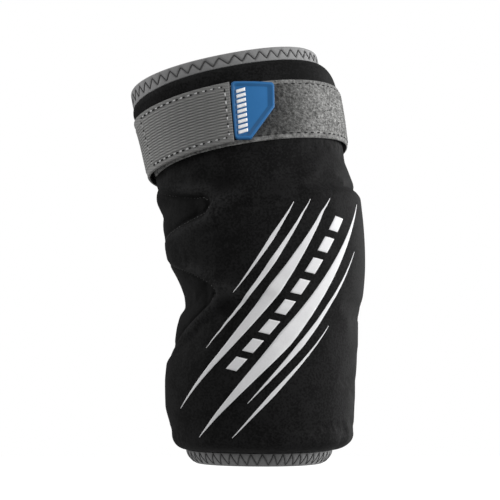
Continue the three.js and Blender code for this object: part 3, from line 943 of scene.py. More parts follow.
class GeometryTrees:
    """Geometry Nodes trees for what repeats, each with named inputs."""

    def __init__(self) -> None:
        """Builds each tree once."""
        self.stitches = self.make_stitches()
        self.thread = self.make_thread()
        self.ribs = self.make_ribs()
        self.pile = self.make_pile()

    def finish(self, nodes: Nodes, given: bpy.types.Node, geometry: bpy.types.NodeSocket,
               out: bpy.types.Node) -> None:
        """Ends a tree in Realize Instances and Set Material."""
        realize = nodes.add("GeometryNodeRealizeInstances")
        paint = nodes.add("GeometryNodeSetMaterial")
        nodes.link(geometry, realize.inputs[0])
        nodes.link(realize.outputs[0], paint.inputs["Geometry"])
        nodes.link(given.outputs["Material"], paint.inputs["Material"])
        nodes.link(paint.outputs[0], out.inputs["Geometry"])

    def make_stitches(self) -> bpy.types.NodeTree:
        """One rounded stitch on each point, turned by the point's own directions."""
        tree, nodes, given, out = group_tree(
            "stitch_row",
            "GeometryNodeTree",
            [
                ("Geometry", GEOMETRY, None),
                ("Length", FLOAT, 0.0022),
                ("Width", FLOAT, 0.0006),
                ("Height", FLOAT, 0.0005),
                ("Material", "NodeSocketMaterial", None),
            ],
            [("Geometry", GEOMETRY)],
        )
        ball = nodes.add("GeometryNodeMeshUVSphere", Segments=8, Rings=5, Radius=0.5)
        size = nodes.add("ShaderNodeCombineXYZ")
        for axis, label in zip("XYZ", ("Length", "Width", "Height")):
            nodes.link(given.outputs[label], size.inputs[axis])
        shape = nodes.add("GeometryNodeTransform")
        nodes.link(ball.outputs["Mesh"], shape.inputs["Geometry"])
        nodes.link(size.outputs[0], shape.inputs["Scale"])
        soft = nodes.add("GeometryNodeSetShadeSmooth")
        nodes.link(shape.outputs["Geometry"], soft.inputs["Geometry"])
        aim = nodes.add("FunctionNodeAxesToRotation", primary_axis="Z", secondary_axis="X")
        for label, target in (("face_normal", 0), ("thread_way", 1)):
            read = nodes.add("GeometryNodeInputNamedAttribute", data_type="FLOAT_VECTOR")
            read.inputs["Name"].default_value = label
            nodes.link(read.outputs[0], aim.inputs[target])
        spread = nodes.add("GeometryNodeInstanceOnPoints")
        nodes.link(given.outputs["Geometry"], spread.inputs["Points"])
        nodes.link(soft.outputs[0], spread.inputs["Instance"])
        nodes.link(aim.outputs[0], spread.inputs["Rotation"])
        self.finish(nodes, given, spread.outputs[0], out)
        return tree

    def make_thread(self) -> bpy.types.NodeTree:
        """A round thread along every line of the input."""
        tree, nodes, given, out = group_tree(
            "thread_line",
            "GeometryNodeTree",
            [
                ("Geometry", GEOMETRY, None),
                ("Radius", FLOAT, 0.0003),
                ("Material", "NodeSocketMaterial", None),
            ],
            [("Geometry", GEOMETRY)],
        )
        curve = nodes.add("GeometryNodeMeshToCurve")
        circle = nodes.add("GeometryNodeCurvePrimitiveCircle", Resolution=6)
        sweep = nodes.add("GeometryNodeCurveToMesh")
        sweep.inputs["Fill Caps"].default_value = True
        soft = nodes.add("GeometryNodeSetShadeSmooth")
        nodes.link(given.outputs["Geometry"], curve.inputs[0])
        nodes.link(given.outputs["Radius"], circle.inputs["Radius"])
        nodes.link(curve.outputs[0], sweep.inputs["Curve"])
        nodes.link(circle.outputs[0], sweep.inputs["Profile Curve"])
        nodes.link(sweep.outputs[0], soft.inputs["Geometry"])
        self.finish(nodes, given, soft.outputs[0], out)
        return tree

    def make_ribs(self) -> bpy.types.NodeTree:
        """Raises lengthwise ribs on webbing, by each point's place across it."""
        tree, nodes, given, out = group_tree(
            "webbing_ribs",
            "GeometryNodeTree",
            [
                ("Geometry", GEOMETRY, None),
                ("Rib Count", FLOAT, 13.0),
                ("Rib Height", FLOAT, 0.0004),
                ("Selvage", FLOAT, 0.08),
                ("Material", "NodeSocketMaterial", None),
            ],
            [("Geometry", GEOMETRY)],
        )
        across = nodes.add("GeometryNodeInputNamedAttribute", data_type="FLOAT")
        across.inputs["Name"].default_value = "across"
        outward = nodes.add("GeometryNodeInputNamedAttribute", data_type="FLOAT_VECTOR")
        outward.inputs["Name"].default_value = "face_normal"
        raised = nodes.add("GeometryNodeInputNamedAttribute", data_type="FLOAT")
        raised.inputs["Name"].default_value = "raised"
        inner = nodes.math("SUBTRACT", across.outputs[0], given.outputs["Selvage"])
        span = nodes.math("SUBTRACT", 1.0, nodes.math("MULTIPLY", given.outputs["Selvage"], 2.0))
        place = nodes.math("DIVIDE", inner, span)
        wave = nodes.math("SINE", nodes.math("MULTIPLY", nodes.math("MULTIPLY", place, math.pi),
                                             given.outputs["Rib Count"]))
        crest = nodes.math("POWER", nodes.math("ABSOLUTE", wave), 0.7)
        above = nodes.math("GREATER_THAN", place, 0.0)
        below = nodes.math("LESS_THAN", place, 1.0)
        kept = nodes.math("MULTIPLY", nodes.math("MULTIPLY", above, below), raised.outputs[0])
        lift = nodes.math("MULTIPLY", nodes.math("MULTIPLY", crest, kept), given.outputs["Rib Height"])
        move = nodes.add("ShaderNodeVectorMath", operation="SCALE")
        nodes.link(outward.outputs[0], move.inputs[0])
        nodes.link(lift, move.inputs["Scale"])
        shift = nodes.add("GeometryNodeSetPosition")
        nodes.link(given.outputs["Geometry"], shift.inputs["Geometry"])
        nodes.link(move.outputs[0], shift.inputs["Offset"])
        self.finish(nodes, given, shift.outputs[0], out)
        return tree

    def make_pile(self) -> bpy.types.NodeTree:
        """Short curled fibres scattered over a tape's face."""
        tree, nodes, given, out = group_tree(
            "tape_pile",
            "GeometryNodeTree",
            [
                ("Geometry", GEOMETRY, None),
                ("Density", FLOAT, 900000.0),
                ("Fibre Length", FLOAT, 0.0014),
                ("Fibre Radius", FLOAT, 0.00009),
                ("Seed", "NodeSocketInt", 7),
                ("Material", "NodeSocketMaterial", None),
            ],
            [("Geometry", GEOMETRY)],
        )
        scatter = nodes.add("GeometryNodeDistributePointsOnFaces")
        arc = nodes.add("GeometryNodeCurveArc", Resolution=4, Sweep_Angle=3.4)
        circle = nodes.add("GeometryNodeCurvePrimitiveCircle", Resolution=3)
        sweep = nodes.add("GeometryNodeCurveToMesh")
        stand = nodes.add("GeometryNodeTransform", Rotation=(math.pi / 2, 0, 0))
        spread = nodes.add("GeometryNodeInstanceOnPoints")
        twist = nodes.add("FunctionNodeRandomValue", data_type="FLOAT_VECTOR")
        twist.inputs[0].default_value = (-0.7, -0.7, -3.14)
        twist.inputs[1].default_value = (0.7, 0.7, 3.14)
        local = nodes.add("FunctionNodeRotateRotation", rotation_space="LOCAL")
        nodes.link(given.outputs["Geometry"], scatter.inputs["Mesh"])
        nodes.link(given.outputs["Density"], scatter.inputs["Density"])
        nodes.link(given.outputs["Seed"], scatter.inputs["Seed"])
        nodes.link(given.outputs["Seed"], twist.inputs["Seed"])
        nodes.link(nodes.math("MULTIPLY", given.outputs["Fibre Length"], 0.4), arc.inputs["Radius"])
        nodes.link(given.outputs["Fibre Radius"], circle.inputs["Radius"])
        nodes.link(arc.outputs[0], sweep.inputs["Curve"])
        nodes.link(circle.outputs[0], sweep.inputs["Profile Curve"])
        nodes.link(sweep.outputs[0], stand.inputs["Geometry"])
        nodes.link(scatter.outputs["Points"], spread.inputs["Points"])
        nodes.link(stand.outputs[0], spread.inputs["Instance"])
        nodes.link(scatter.outputs["Rotation"], local.inputs[0])
        nodes.link(twist.outputs[0], local.inputs[1])
        nodes.link(local.outputs[0], spread.inputs["Rotation"])
        self.finish(nodes, given, spread.outputs[0], out)
        return tree


def run_tree(
    host: bpy.types.Mesh, tree: bpy.types.NodeTree, values: dict[str, object]
) -> bpy.types.Mesh:
    """Runs a Geometry Nodes tree on a mesh and returns the plain result.

    Args:
        host: the mesh that the tree starts from.
        tree: the tree.
        values: its inputs by name.

    Returns:
        A new mesh.
    """
    holder = bpy.data.objects.new(host.name + "_host", host)
    bpy.context.scene.collection.objects.link(holder)
    modifier = holder.modifiers.new("build", "NODES")
    modifier.node_group = tree
    identifiers = {
        item.name: item.identifier
        for item in tree.interface.items_tree
        if item.item_type == "SOCKET" and item.in_out == "INPUT"
    }
    for name, value in values.items():
        modifier[identifiers[name]] = value
    holder.update_tag()
    graph = bpy.context.evaluated_depsgraph_get()
    graph.update()
    made = bpy.data.meshes.new_from_object(holder.evaluated_get(graph), depsgraph=graph)
    holder.modifiers.clear()
    bpy.data.objects.remove(holder)
    return made


def vector_attribute(mesh: bpy.types.Mesh, name: str, values: np.ndarray) -> None:
    """Stores a direction on every vertex."""
    attribute = mesh.attributes.new(name, "FLOAT_VECTOR", "POINT")
    attribute.data.foreach_set("vector", values.reshape(-1, 3).astype(np.float32).ravel())


def float_attribute(mesh: bpy.types.Mesh, name: str, values: np.ndarray) -> None:
    """Stores a number on every vertex."""
    attribute = mesh.attributes.new(name, "FLOAT", "POINT")
    attribute.data.foreach_set("value", values.astype(np.float32).ravel())


def unit(vectors: np.ndarray) -> np.ndarray:
    """Vectors scaled to length 1."""
    return vectors / np.maximum(np.linalg.norm(vectors, axis=-1, keepdims=True), 1e-9)


def space_out(points: np.ndarray, pitch: float) -> np.ndarray:
    """Places at even spacing along a polyline.

    Args:
        points: the polyline's points.
        pitch: the spacing.

    Returns:
        Fractions of the polyline's index range, for interpolating anything kept along it.
    """
    steps = np.linalg.norm(np.diff(points, axis=0), axis=1)
    run = np.concatenate([[0], np.cumsum(steps)])
    count = max(2, int(round(run[-1] / pitch)))
    wanted = (np.arange(count) + 0.5) / count * run[-1]
    return np.interp(wanted, run, np.arange(len(points)))


def stitch_host(name: str, lines: list[tuple[np.ndarray, np.ndarray]], pitch: float) -> bpy.types.Mesh:
    """Points with directions for a row of stitches.

    Args:
        name: the mesh's name.
        lines: for each seam its points and a second line of points just outside it.
        pitch: distance between stitches.

    Returns:
        A mesh of loose vertices.
    """
    places, ways, normals = [], [], []
    for points, outside in lines:
        index = space_out(points, pitch)
        keys = np.arange(len(points))
        at = np.stack([np.interp(index, keys, points[:, i]) for i in range(3)], axis=1)
        over = np.stack([np.interp(index, keys, outside[:, i]) for i in range(3)], axis=1)
        tangent = np.stack([np.interp(index, keys, np.gradient(points[:, i])) for i in range(3)], axis=1)
        places.append(at)
        ways.append(unit(tangent))
        normals.append(unit(over - at))
    mesh = bpy.data.meshes.new(name)
    all_places = np.concatenate(places)
    mesh.from_pydata((all_places * MM).tolist(), [], [])
    vector_attribute(mesh, "thread_way", np.concatenate(ways))
    vector_attribute(mesh, "face_normal", np.concatenate(normals))
    return mesh


def moved_on(lines: list[tuple[np.ndarray, ...]], distance: float) -> list[tuple[np.ndarray, ...]]:
    """Slides the points of every seam line on by a distance in millimetres."""
    moved = []
    for seam in lines:
        run = np.linalg.norm(np.diff(seam[0], axis=0), axis=1).sum()
        keys = np.arange(len(seam[0]))
        at = np.clip(keys + distance / run * (len(keys) - 1), 0, len(keys) - 1)
        moved.append(tuple(np.stack([np.interp(at, keys, line[:, i]) for i in range(3)], 1) for line in seam))
    return moved


def line_mesh(name: str, lines: list[np.ndarray]) -> bpy.types.Mesh:
    """A mesh of edges along polylines."""
    points, edges, start = [], [], 0
    for line in lines:
        points.append(line)
        edges += [(start + i, start + i + 1) for i in range(len(line) - 1)]
        start += len(line)
    mesh = bpy.data.meshes.new(name)
    mesh.from_pydata((np.concatenate(points) * MM).tolist(), edges, [])
    return mesh


@dataclass
class Cover:
    """The black padded cover."""

    form: PadForm
    columns: int = 320
    wall_rows: int = 240
    rim_rows: int = 12
    inner_rows: int = 20

    def build(self, finishes: Finishes) -> bpy.types.Object:
        """Builds the cover with its rounded rims and its inner wall.

        Args:
            finishes: the pad's materials.

        Returns:
            The piece.
        """
        form = self.form
        length = form.arm.length
        turn = np.linspace(-180, 180, self.columns, endpoint=False)
        low = form.blend_sides(turn, form.lower_rim)
        high = form.blend_sides(turn, form.upper_rim)
        rings = [self.rim(turn, low, swing, False) for swing in self.swings()]
        # Painted shade: the rounded rims darken towards the hems.
        shades = [0.25 + 0.2 * math.sin(swing) + 0 * turn for swing in self.swings()]
        for share in np.linspace(0, 1, self.wall_rows):
            s = mix(low, length - high, share)
            rings.append(form.face(turn, s))
            shades.append(form.shade(turn, s))
        rings += [self.rim(turn, high, swing, True) for swing in self.swings()[::-1]]
        shades += shades[: self.rim_rows][::-1]
        for s in np.linspace(length, 0, self.inner_rows):
            rings.append(form.hem_line(turn, s, form.seam_gap - form.hem_proud))
            # Painted shade on the inner wall.
            shades.append(0.25 + 0 * turn)
        points = np.array(rings)
        along = np.arange(len(points) + 1, dtype=float)
        across = np.arange(self.columns + 1, dtype=float)
        mesh = grid_mesh("cover", points, True, True, (along, across))
        float_attribute(mesh, "shade", np.array(shades))
        turn_outwards(mesh)
        piece = add_piece("cover", mesh, finishes.cover, Slot.COVER, "padded_shell")
        return piece

    def swings(self) -> np.ndarray:
        """Angles of the rim's rounding, from the hem up to the wall."""
        return np.linspace(0, math.pi / 2, self.rim_rows, endpoint=False)

    def rim(self, turn: np.ndarray, height: np.ndarray, swing: float, upper: bool) -> np.ndarray:
        """One ring of a rounded rim.

        Args:
            turn: turns round the arm.
            height: the rim's height at each turn.
            swing: angle round the rim's section, 0 at the hem.
            upper: the upper rim, or else the lower one.

        Returns:
            The ring's points.
        """
        form = self.form
        length = form.arm.length
        rise = height * (1 - math.cos(swing))
        s = length - rise if upper else rise
        shoulder = length - height if upper else height
        hem_x, hem_y = form.section(form.sleeve, turn, s, 0.0)
        relief = form.relief(turn, shoulder)
        face_x, face_y = form.section(form.cover, turn, shoulder, relief)
        share = math.sin(swing)
        lift = form.blend_sides(turn, form.rim_lift) * math.cos(swing) if upper else 0
        return form.arm.place(s + lift, mix(hem_x, face_x, share), mix(hem_y, face_y, share))


@dataclass
class ClothPuff:
    """Simulated cloth over the cover's form, which gives the soft puffs between its seams."""

    form: PadForm
    columns: int = 144
    rows: int = 96
    frames: int = 20
    pressure: float = 4.0
    spare: float = 0.012
    most: float = 1.6
    blur: int = 9

    def run(self) -> None:
        """Simulates the cover's cloth and keeps its local height in the form."""
        form = self.form
        length = form.arm.length
        turn = np.linspace(-180, 180, self.columns, endpoint=False)
        s = np.linspace(0, length, self.rows)
        turns, lengths = np.meshgrid(turn, s)
        points = form.face(turns, lengths)
        mesh = grid_mesh("cloth_puff", points, False, True)
        sheet = bpy.data.objects.new("cloth_puff", mesh)
        bpy.context.scene.collection.objects.link(sheet)
        pins = sheet.vertex_groups.new(name="pins")
        weights = self.pin_weights(turns, lengths).ravel()
        for index, weight in enumerate(weights):
            pins.add([index], float(weight), "REPLACE")
        cloth = sheet.modifiers.new("cloth", "CLOTH")
        settings = cloth.settings
        settings.quality = 6
        settings.mass = 0.4
        settings.tension_stiffness = 12
        settings.compression_stiffness = 12
        settings.bending_stiffness = 1.2
        settings.use_pressure = True
        settings.uniform_pressure_force = self.pressure
        settings.vertex_group_mass = "pins"
        settings.shrink_min = -self.spare
        settings.effector_weights.gravity = 0
        scene = bpy.context.scene
        for number in range(1, self.frames + 1):
            scene.frame_set(number)
        graph = bpy.context.evaluated_depsgraph_get()
        moved = np.zeros(len(mesh.vertices) * 3, np.float32)
        sheet.evaluated_get(graph).data.vertices.foreach_get("co", moved)
        moved = moved.reshape(points.shape) / MM
        outward = unit(form.face(turns, lengths, 1.0) - points)
        height = np.sum((moved - points) * outward, axis=-1)
        scene.frame_set(1)
        bpy.data.objects.remove(sheet)
        local = height - self.blurred(height)
        form.puff = np.clip(local, -self.most, self.most)
        LOG.info("cloth puff: from %.2f to %.2f mm", form.puff.min(), form.puff.max())

    def pin_weights(self, turns: np.ndarray, lengths: np.ndarray) -> np.ndarray:
        """How firmly each point is held: fully at the rims, the strap and the stitched seams."""
        form = self.form
        length = form.arm.length
        held = np.maximum(1 - smooth(lengths / 8), 1 - smooth((length - lengths - 46) / 10))
        for dart in form.darts:
            line_turn, line_share = dart.seam()
            away = form.flat_distance(turns, lengths, line_turn, line_share * length)
            held = np.maximum(held, hump(away, 2.5))
        return np.clip(held, 0.02, 1)

    def blurred(self, height: np.ndarray) -> np.ndarray:
        """The broad part of the height, by repeated averaging."""
        smooth_height = height.copy()
        for _ in range(self.blur):
            padded = np.vstack([smooth_height[:1], smooth_height, smooth_height[-1:]])
            smooth_height = (padded[:-2] + padded[1:-1] + padded[2:]) / 3
            left = np.roll(smooth_height, 1, axis=1)
            right = np.roll(smooth_height, -1, axis=1)
            smooth_height = (left + smooth_height + right) / 3
        return smooth_height


@dataclass
class Lining:
    """The grey lining sleeve with its turned hems and zigzag threads."""

    form: PadForm
    columns: int = 720
    rows: int = 50
    hem_rows: int = 16
    pucker: float = 0.45
    pucker_width: float = 0.8
    hem_round: float = 1.4
    zigzag_pitch: float = 7.4
    upper_zigzag: float = 5.4
    lower_zigzag: float = 5.8
    thread_radius: float = 0.28
    # Painted shade: the lining's tones round the arm, darker in front and on the lower hem.
    tone_turn: float = 58.0
    upper_tones: tuple[float, float] = (0.85, 1.12)
    lower_tones: tuple[float, float] = (0.60, 0.98)

    def profile(self) -> list[tuple[float, float]]:
        """The sleeve's section as lengths along the arm and heights over its outer line."""
        form = self.form
        length = form.arm.length
        top = length + form.upper_hem
        bottom = -form.lower_hem
        back = -form.hem_proud - form.lining_wall
        corner = self.hem_round
        bends = np.linspace(0, math.pi / 2, 6)
        rows = [(bottom + corner * (1 - math.sin(a)), back + corner * (1 - math.cos(a))) for a in bends]
        rows += [(bottom + corner * (1 - math.cos(a)), -corner * (1 - math.sin(a))) for a in bends]
        rows += [(s, 0.0) for s in np.linspace(bottom + 2 * corner, -form.seam_gap, self.hem_rows)]
        rows += [(s, -form.hem_proud) for s in np.linspace(-form.seam_gap + 0.05, 0, 2)]
        rows += [(s, -form.hem_proud) for s in np.linspace(6, length - 6, 16)]
        rows += [(s, -form.hem_proud) for s in np.linspace(length, length + form.seam_gap - 0.05, 2)]
        rows += [(s, 0.0) for s in np.linspace(length + form.seam_gap, top - 2 * corner, self.hem_rows)]
        rows += [(top - corner * (1 - math.sin(a)), -corner * (1 - math.cos(a))) for a in bends]
        rows += [(top - corner * (1 - math.cos(a)), back + corner * (1 - math.sin(a))) for a in bends]
        rows += [(s, back) for s in np.linspace(top - 2 * corner, bottom + 2 * corner, self.rows)]
        return rows

    def build(self, finishes: Finishes, trees: GeometryTrees) -> None:
        """Builds the sleeve and the zigzag threads on both hems.

        Args:
            finishes: the pad's materials.
            trees: the pad's Geometry Nodes trees.
        """
        form = self.form
        turn = np.linspace(-180, 180, self.columns, endpoint=False)
        rings, shades = [], []
        for s, out in self.profile():
            groove = self.groove(turn, s) if out >= -self.hem_round else np.zeros(self.columns)
            rings.append(form.hem_line(turn, s, out - groove * self.pucker))
            # Painted shade in the zigzag grooves and from the lining's tone round the arm.
            shades.append((1 - 0.5 * groove) * self.tone(turn, s))
        points = np.array(rings)
        run = np.linalg.norm(np.diff(points[:, 0], axis=0), axis=1)
        along = np.concatenate([[0], np.cumsum(run), [run.sum() + 1]])
        across = np.linspace(0, 360 * form.turn_length, self.columns + 1)
        mesh = grid_mesh("lining", points, True, True, (along, across))
        float_attribute(mesh, "shade", np.array(shades))
        turn_outwards(mesh)
        lining = add_piece("lining", mesh, finishes.lining, Slot.LINING, "lining_sleeve")
        upper, lower = [self.zigzag(middle) for middle in self.middles()]
        host = line_mesh("hem_zigzag", [upper, lower])
        values = {"Radius": self.thread_radius * MM, "Material": finishes.hem_thread}
        thread = run_tree(host, trees.thread, values)
        zigzag = add_piece("hem_zigzag", thread, finishes.hem_thread, Slot.THREAD)

    def tone(self, turn: np.ndarray, s: float) -> np.ndarray:
        """Painted shade on the lining round the arm: a little darker in front and on the lower hem."""
        front, side = self.lower_tones if s < 0 else self.upper_tones
        return mix(front, side, smooth(np.abs(turn) / self.tone_turn))

    def middles(self) -> tuple[float, float]:
        """Middle lines of the upper and the lower hem, as lengths along the arm."""
        return self.form.arm.length + self.form.upper_hem / 2, -self.form.lower_hem / 2

    def count(self) -> int:
        """Number of zigzags round a hem."""
        girth = math.pi * (self.form.arm.half_width + self.form.arm.half_depth) * 0.93
        return int(girth / self.zigzag_pitch)

    def swing(self, turn: np.ndarray) -> np.ndarray:
        """Place of the zigzag across its hem, from -1 to 1."""
        phase = (turn + 180) / 360 * self.count() * math.tau
        return np.arcsin(np.sin(phase) * 0.97) / math.asin(0.97)

    def groove(self, turn: np.ndarray, s: float) -> np.ndarray:
        """How deep the thread pulls the cloth in, from 0 to 1."""
        middle = min(self.middles(), key=lambda line: abs(line - s))
        height = self.zigzag_at(middle)
        away = s - middle - height / 2 * self.swing(turn)
        steepness = math.hypot(1, 2 * height / self.zigzag_pitch)
        return hump(away / steepness, self.pucker_width)

    def zigzag_at(self, middle: float) -> float:
        """Height of the zigzag on the hem with this middle line."""
        return self.lower_zigzag if middle < 0 else self.upper_zigzag

    def zigzag(self, middle: float) -> np.ndarray:
        """Line of a zigzag thread round a hem.

        Args:
            middle: the hem's middle, as a length along the arm.

        Returns:
            The thread's points, a closed round.
        """
        steps = 16
        turn = np.linspace(-180, 180, self.count() * steps + 1)
        s = middle + self.zigzag_at(middle) / 2 * self.swing(turn)
        return self.form.hem_line(turn, s, self.thread_radius * 0.2 - self.pucker * 0.6)


@dataclass
class Band:
    """The strap, its two strips of fastener tape, and the layers' heights over the cover."""

    form: PadForm
    width: float = 38.0
    strap_drop: float = 10.3
    strap_thickness: float = 1.8
    anchor_turn: float = -205.0
    flare: float = 1.6
    rest_turn: float = -102.0
    raised_turn: float = -64.0
    bow_turns: float = 38.0
    patch_drop: float = 10.9
    patch_fall: float = 2.6
    patch_fall_start: float = -40.0
    patch_fall_end: float = 60.0
    patch_thickness: float = 1.6
    patch_start: float = -75.0
    patch_end: float = 140.0
    # Painted shade on the loop pile beside the tab, fading out further round.
    tab_shade_start: float = 18.0
    tab_shade_turns: float = 32.0
    tab_shade_tone: float = 0.0
    # Painted light and shade along the strap: lighter at the left, darker towards the tab.
    webbing_shade_tones: tuple[float, float, float] = (1.0, 1.16, 0.78)
    webbing_shade_turns: tuple[float, float, float] = (-130.0, -85.0, -12.0)
    hook_thickness: float = 1.2
    hook_margin: float = 1.0
    hook_start: float = -62.0
    hook_end: float = -9.0
    tab_thickness: float = 3.3
    tab_width: float = 28.5
    tab_height: float = 37.0
    tab_right_edge: float = 16.0
    tab_foot_left: float = 2.0
    tab_foot_right: float = 12.0
    front_radius: float = 84.0
    tab_tilt: float = 10.0
    tab_turn: float = 0.8
    tab_drop: float = 10.4
    rib_count: int = 17
    rib_height: float = 0.5
    selvage: float = 0.11
    stitch_pitch: float = 5.0
    tape_pitch: float = 5.2
    patch_flare: float = 2.2
    patch_flare_start: float = 35.0
    patch_flare_turns: float = 50.0

    @property
    def gap(self) -> float:
        """Free space between the layers."""
        return self.form.seam_gap

    @property
    def patch_top(self) -> float:
        """Height of the loop tape's face."""
        return self.gap + self.patch_thickness

    @property
    def hook_under(self) -> float:
        """Height of the hook tape's back."""
        return self.patch_top + self.gap

    @property
    def strap_raised(self) -> float:
        """Height of the strap's back where it lies over both tapes."""
        return self.hook_under + self.hook_thickness + self.gap

    def turn_for(self, length: np.ndarray | float) -> np.ndarray | float:
        """Degrees of turn that a length along the band takes on the pad's broad front."""
        return length / self.front_radius * 180 / math.pi

    def strap_end(self, down: np.ndarray) -> np.ndarray:
        """Turn at which the strap ends, along the tab's slanted edge."""
        q = self.strap_drop + self.width * down - self.tab_drop
        edge = self.tab_foot_left * q / self.tab_height - q * math.sin(math.radians(self.tab_tilt))
        return self.tab_turn + self.turn_for(edge - 2 * self.gap)

    def strap_under(self, turn: np.ndarray, down: np.ndarray) -> np.ndarray:
        """Height of the strap's back over the cover's plain form."""
        raised = smooth((turn - self.rest_turn) / (self.raised_turn - self.rest_turn))
        middle = (self.rest_turn + self.raised_turn) / 2
        bow = smooth(1 - np.abs(turn - middle) / self.bow_turns)
        return mix(self.gap, self.strap_raised, raised) + self.flare * bow * down

    def patch_drop_at(self, turn: np.ndarray) -> np.ndarray:
        """Distance of the loop tape's upper edge from the cover's upper rim."""
        share = (turn - self.patch_fall_start) / (self.patch_fall_end - self.patch_fall_start)
        return self.patch_drop + self.patch_fall * smooth(share)

    def patch_height(self, turn: np.ndarray, down: np.ndarray) -> np.ndarray:
        """Height of the loop tape's back, whose lower edge stands off at the elbow's side."""
        share = smooth((turn - self.patch_flare_start) / self.patch_flare_turns)
        back = 1 - smooth((turn - 2 * self.patch_flare_turns) / self.patch_flare_turns)
        return self.gap + self.patch_flare * share * back * down

    def pile_shade(self, turn: np.ndarray) -> np.ndarray:
        """Painted shade on the loop pile: dark beside the tab and lighter further round to the right."""
        return mix(self.tab_shade_tone, 1.0, smooth((turn - self.tab_shade_start) / self.tab_shade_turns))

    def band_points(
        self,
        turns: np.ndarray,
        downs: np.ndarray,
        drop: np.ndarray | float,
        width: float,
        height: np.ndarray,
    ) -> np.ndarray:
        """Points of a layer of the band over the cover's plain form."""
        s = self.form.arm.length - drop - width * downs
        return self.form.smooth_face(turns, s, height)

    def rounded(self, across: np.ndarray, width: float, thickness: float, soft: float) -> np.ndarray:
        """Thickness across a webbing whose edges are rounded over a soft width."""
        edge = np.minimum(across, 1 - across) * width
        share = np.clip(edge / soft, 0, 1)
        return thickness * (0.35 + 0.65 * np.sqrt(1 - (1 - share) ** 2))

    def build_strap(self, finishes: Finishes, trees: GeometryTrees) -> None:
        """Builds the ribbed elastic strap and the box of stitches on it.

        Args:
            finishes: the pad's materials.
            trees: the pad's Geometry Nodes trees.
        """
        columns, rows = 133, 320
        down = np.linspace(0, 1, columns)
        share = np.linspace(0, 1, rows)
        downs, shares = np.meshgrid(down, share)
        turns = mix(self.anchor_turn, self.strap_end(downs), shares)
        under = self.strap_under(turns, downs)
        thick = self.rounded(downs, self.width, self.strap_thickness, 0.9) - self.rib_height * 0.6
        outer = self.band_points(turns, downs, self.strap_drop, self.width, under + thick)
        inner = self.band_points(turns, downs, self.strap_drop, self.width, under + 0 * thick)
        step = 6
        inner_columns = np.r_[0:columns:step]
        ring = sheet_points(outer, inner[:, inner_columns])
        raised = sheet_points(
            np.ones((rows, columns, 1)), np.zeros((rows, len(inner_columns), 1))
        )
        ends = smooth(np.minimum(shares, 1 - shares) * 90 - 0.3)[..., None]
        raised[:, :columns] *= ends
        outward = unit(
            self.band_points(turns, downs, self.strap_drop, self.width, under + 1) - inner
        )
        normals = sheet_points(outward, outward[:, inner_columns])
        across = sheet_points(downs[..., None], downs[:, inner_columns][..., None])
        along = np.linspace(0, (self.strap_end(0.5) - self.anchor_turn) * 1.17, rows)
        widths = np.concatenate([down * self.width, 2 * self.width - down[inner_columns][::-1] * self.width,
                                 [2 * self.width]])
        mesh = grid_mesh("strap", ring, False, True, (along, widths))
        vector_attribute(mesh, "face_normal", normals)
        float_attribute(mesh, "across", across)
        float_attribute(mesh, "raised", raised)
        # Painted highlights on the ribs, painted shade in their grooves, and painted light and shade along
        # the strap.
        tones = self.rib_shade(downs) * np.interp(turns, self.webbing_shade_turns, self.webbing_shade_tones)[..., None]
        float_attribute(mesh, "shade", sheet_points(tones, tones[:, inner_columns]))
        values = {
            "Rib Count": float(self.rib_count),
            "Rib Height": self.rib_height * MM,
            "Selvage": self.selvage,
            "Material": finishes.webbing,
        }
        made = run_tree(mesh, trees.ribs, values)
        cap_rings(made, ring.shape[1], rows)
        strap = add_piece("strap", made, finishes.webbing, Slot.WEBBING, "elastic_strap")
        stitches = self.build_strap_stitches(finishes, trees)

    def rib_shade(self, down: np.ndarray) -> np.ndarray:
        """Painted highlights on the webbing's ribs and painted shade in the grooves between them."""
        place = (down - self.selvage) / (1 - 2 * self.selvage)
        inside = (place > 0) & (place < 1)
        crest = np.abs(np.sin(place * math.pi * self.rib_count)) ** 0.8
        return np.where(inside, crest, 0.75)[..., None]

    def build_strap_stitches(self, finishes: Finishes, trees: GeometryTrees) -> list[bpy.types.Object]:
        """Sews the box of stitches that holds the hook tape, and the seam at the strap's anchor.

        Args:
            finishes: the pad's materials.
            trees: the pad's Geometry Nodes trees.

        Returns:
            The dark and the light stitches.
        """
        inset = self.selvage * 0.7
        left = self.hook_start
        t = np.linspace(0, 1, 80)
        edges = []
        for down in (inset, 1 - inset):
            end = self.strap_end(np.array(down)) - 2.2
            edges.append((mix(left, end, t), np.full_like(t, down)))
        edges.append((self.strap_end(mix(inset, 1 - inset, t)) - 2.2, mix(inset, 1 - inset, t)))
        edges.append((np.full_like(t, left), mix(inset, 1 - inset, t)))
        for turn in (self.anchor_turn + 3, self.anchor_turn + 12):
            edges.append((np.full_like(t, turn), mix(inset, 1 - inset, t)))
        lines = []
        for turns, downs in edges:
            height = self.strap_under(turns, downs) + self.strap_thickness
            points = self.band_points(turns, downs, self.strap_drop, self.width, height)
            outside = self.band_points(turns, downs, self.strap_drop, self.width, height + 1)
            lines.append((points, outside))
        made = []
        for name, shift, finish in (
            ("strap_stitches_dark", 0.0, finishes.dark_thread),
            ("strap_stitches_light", 0.5, finishes.light_thread),
        ):
            host = stitch_host(name, moved_on(lines, shift * self.stitch_pitch), self.stitch_pitch)
            values = {"Length": 3.0 * MM, "Width": 1.1 * MM, "Height": 0.8 * MM, "Material": finish}
            made.append(add_piece(name, run_tree(host, trees.stitches, values), finish, Slot.THREAD))
        return made

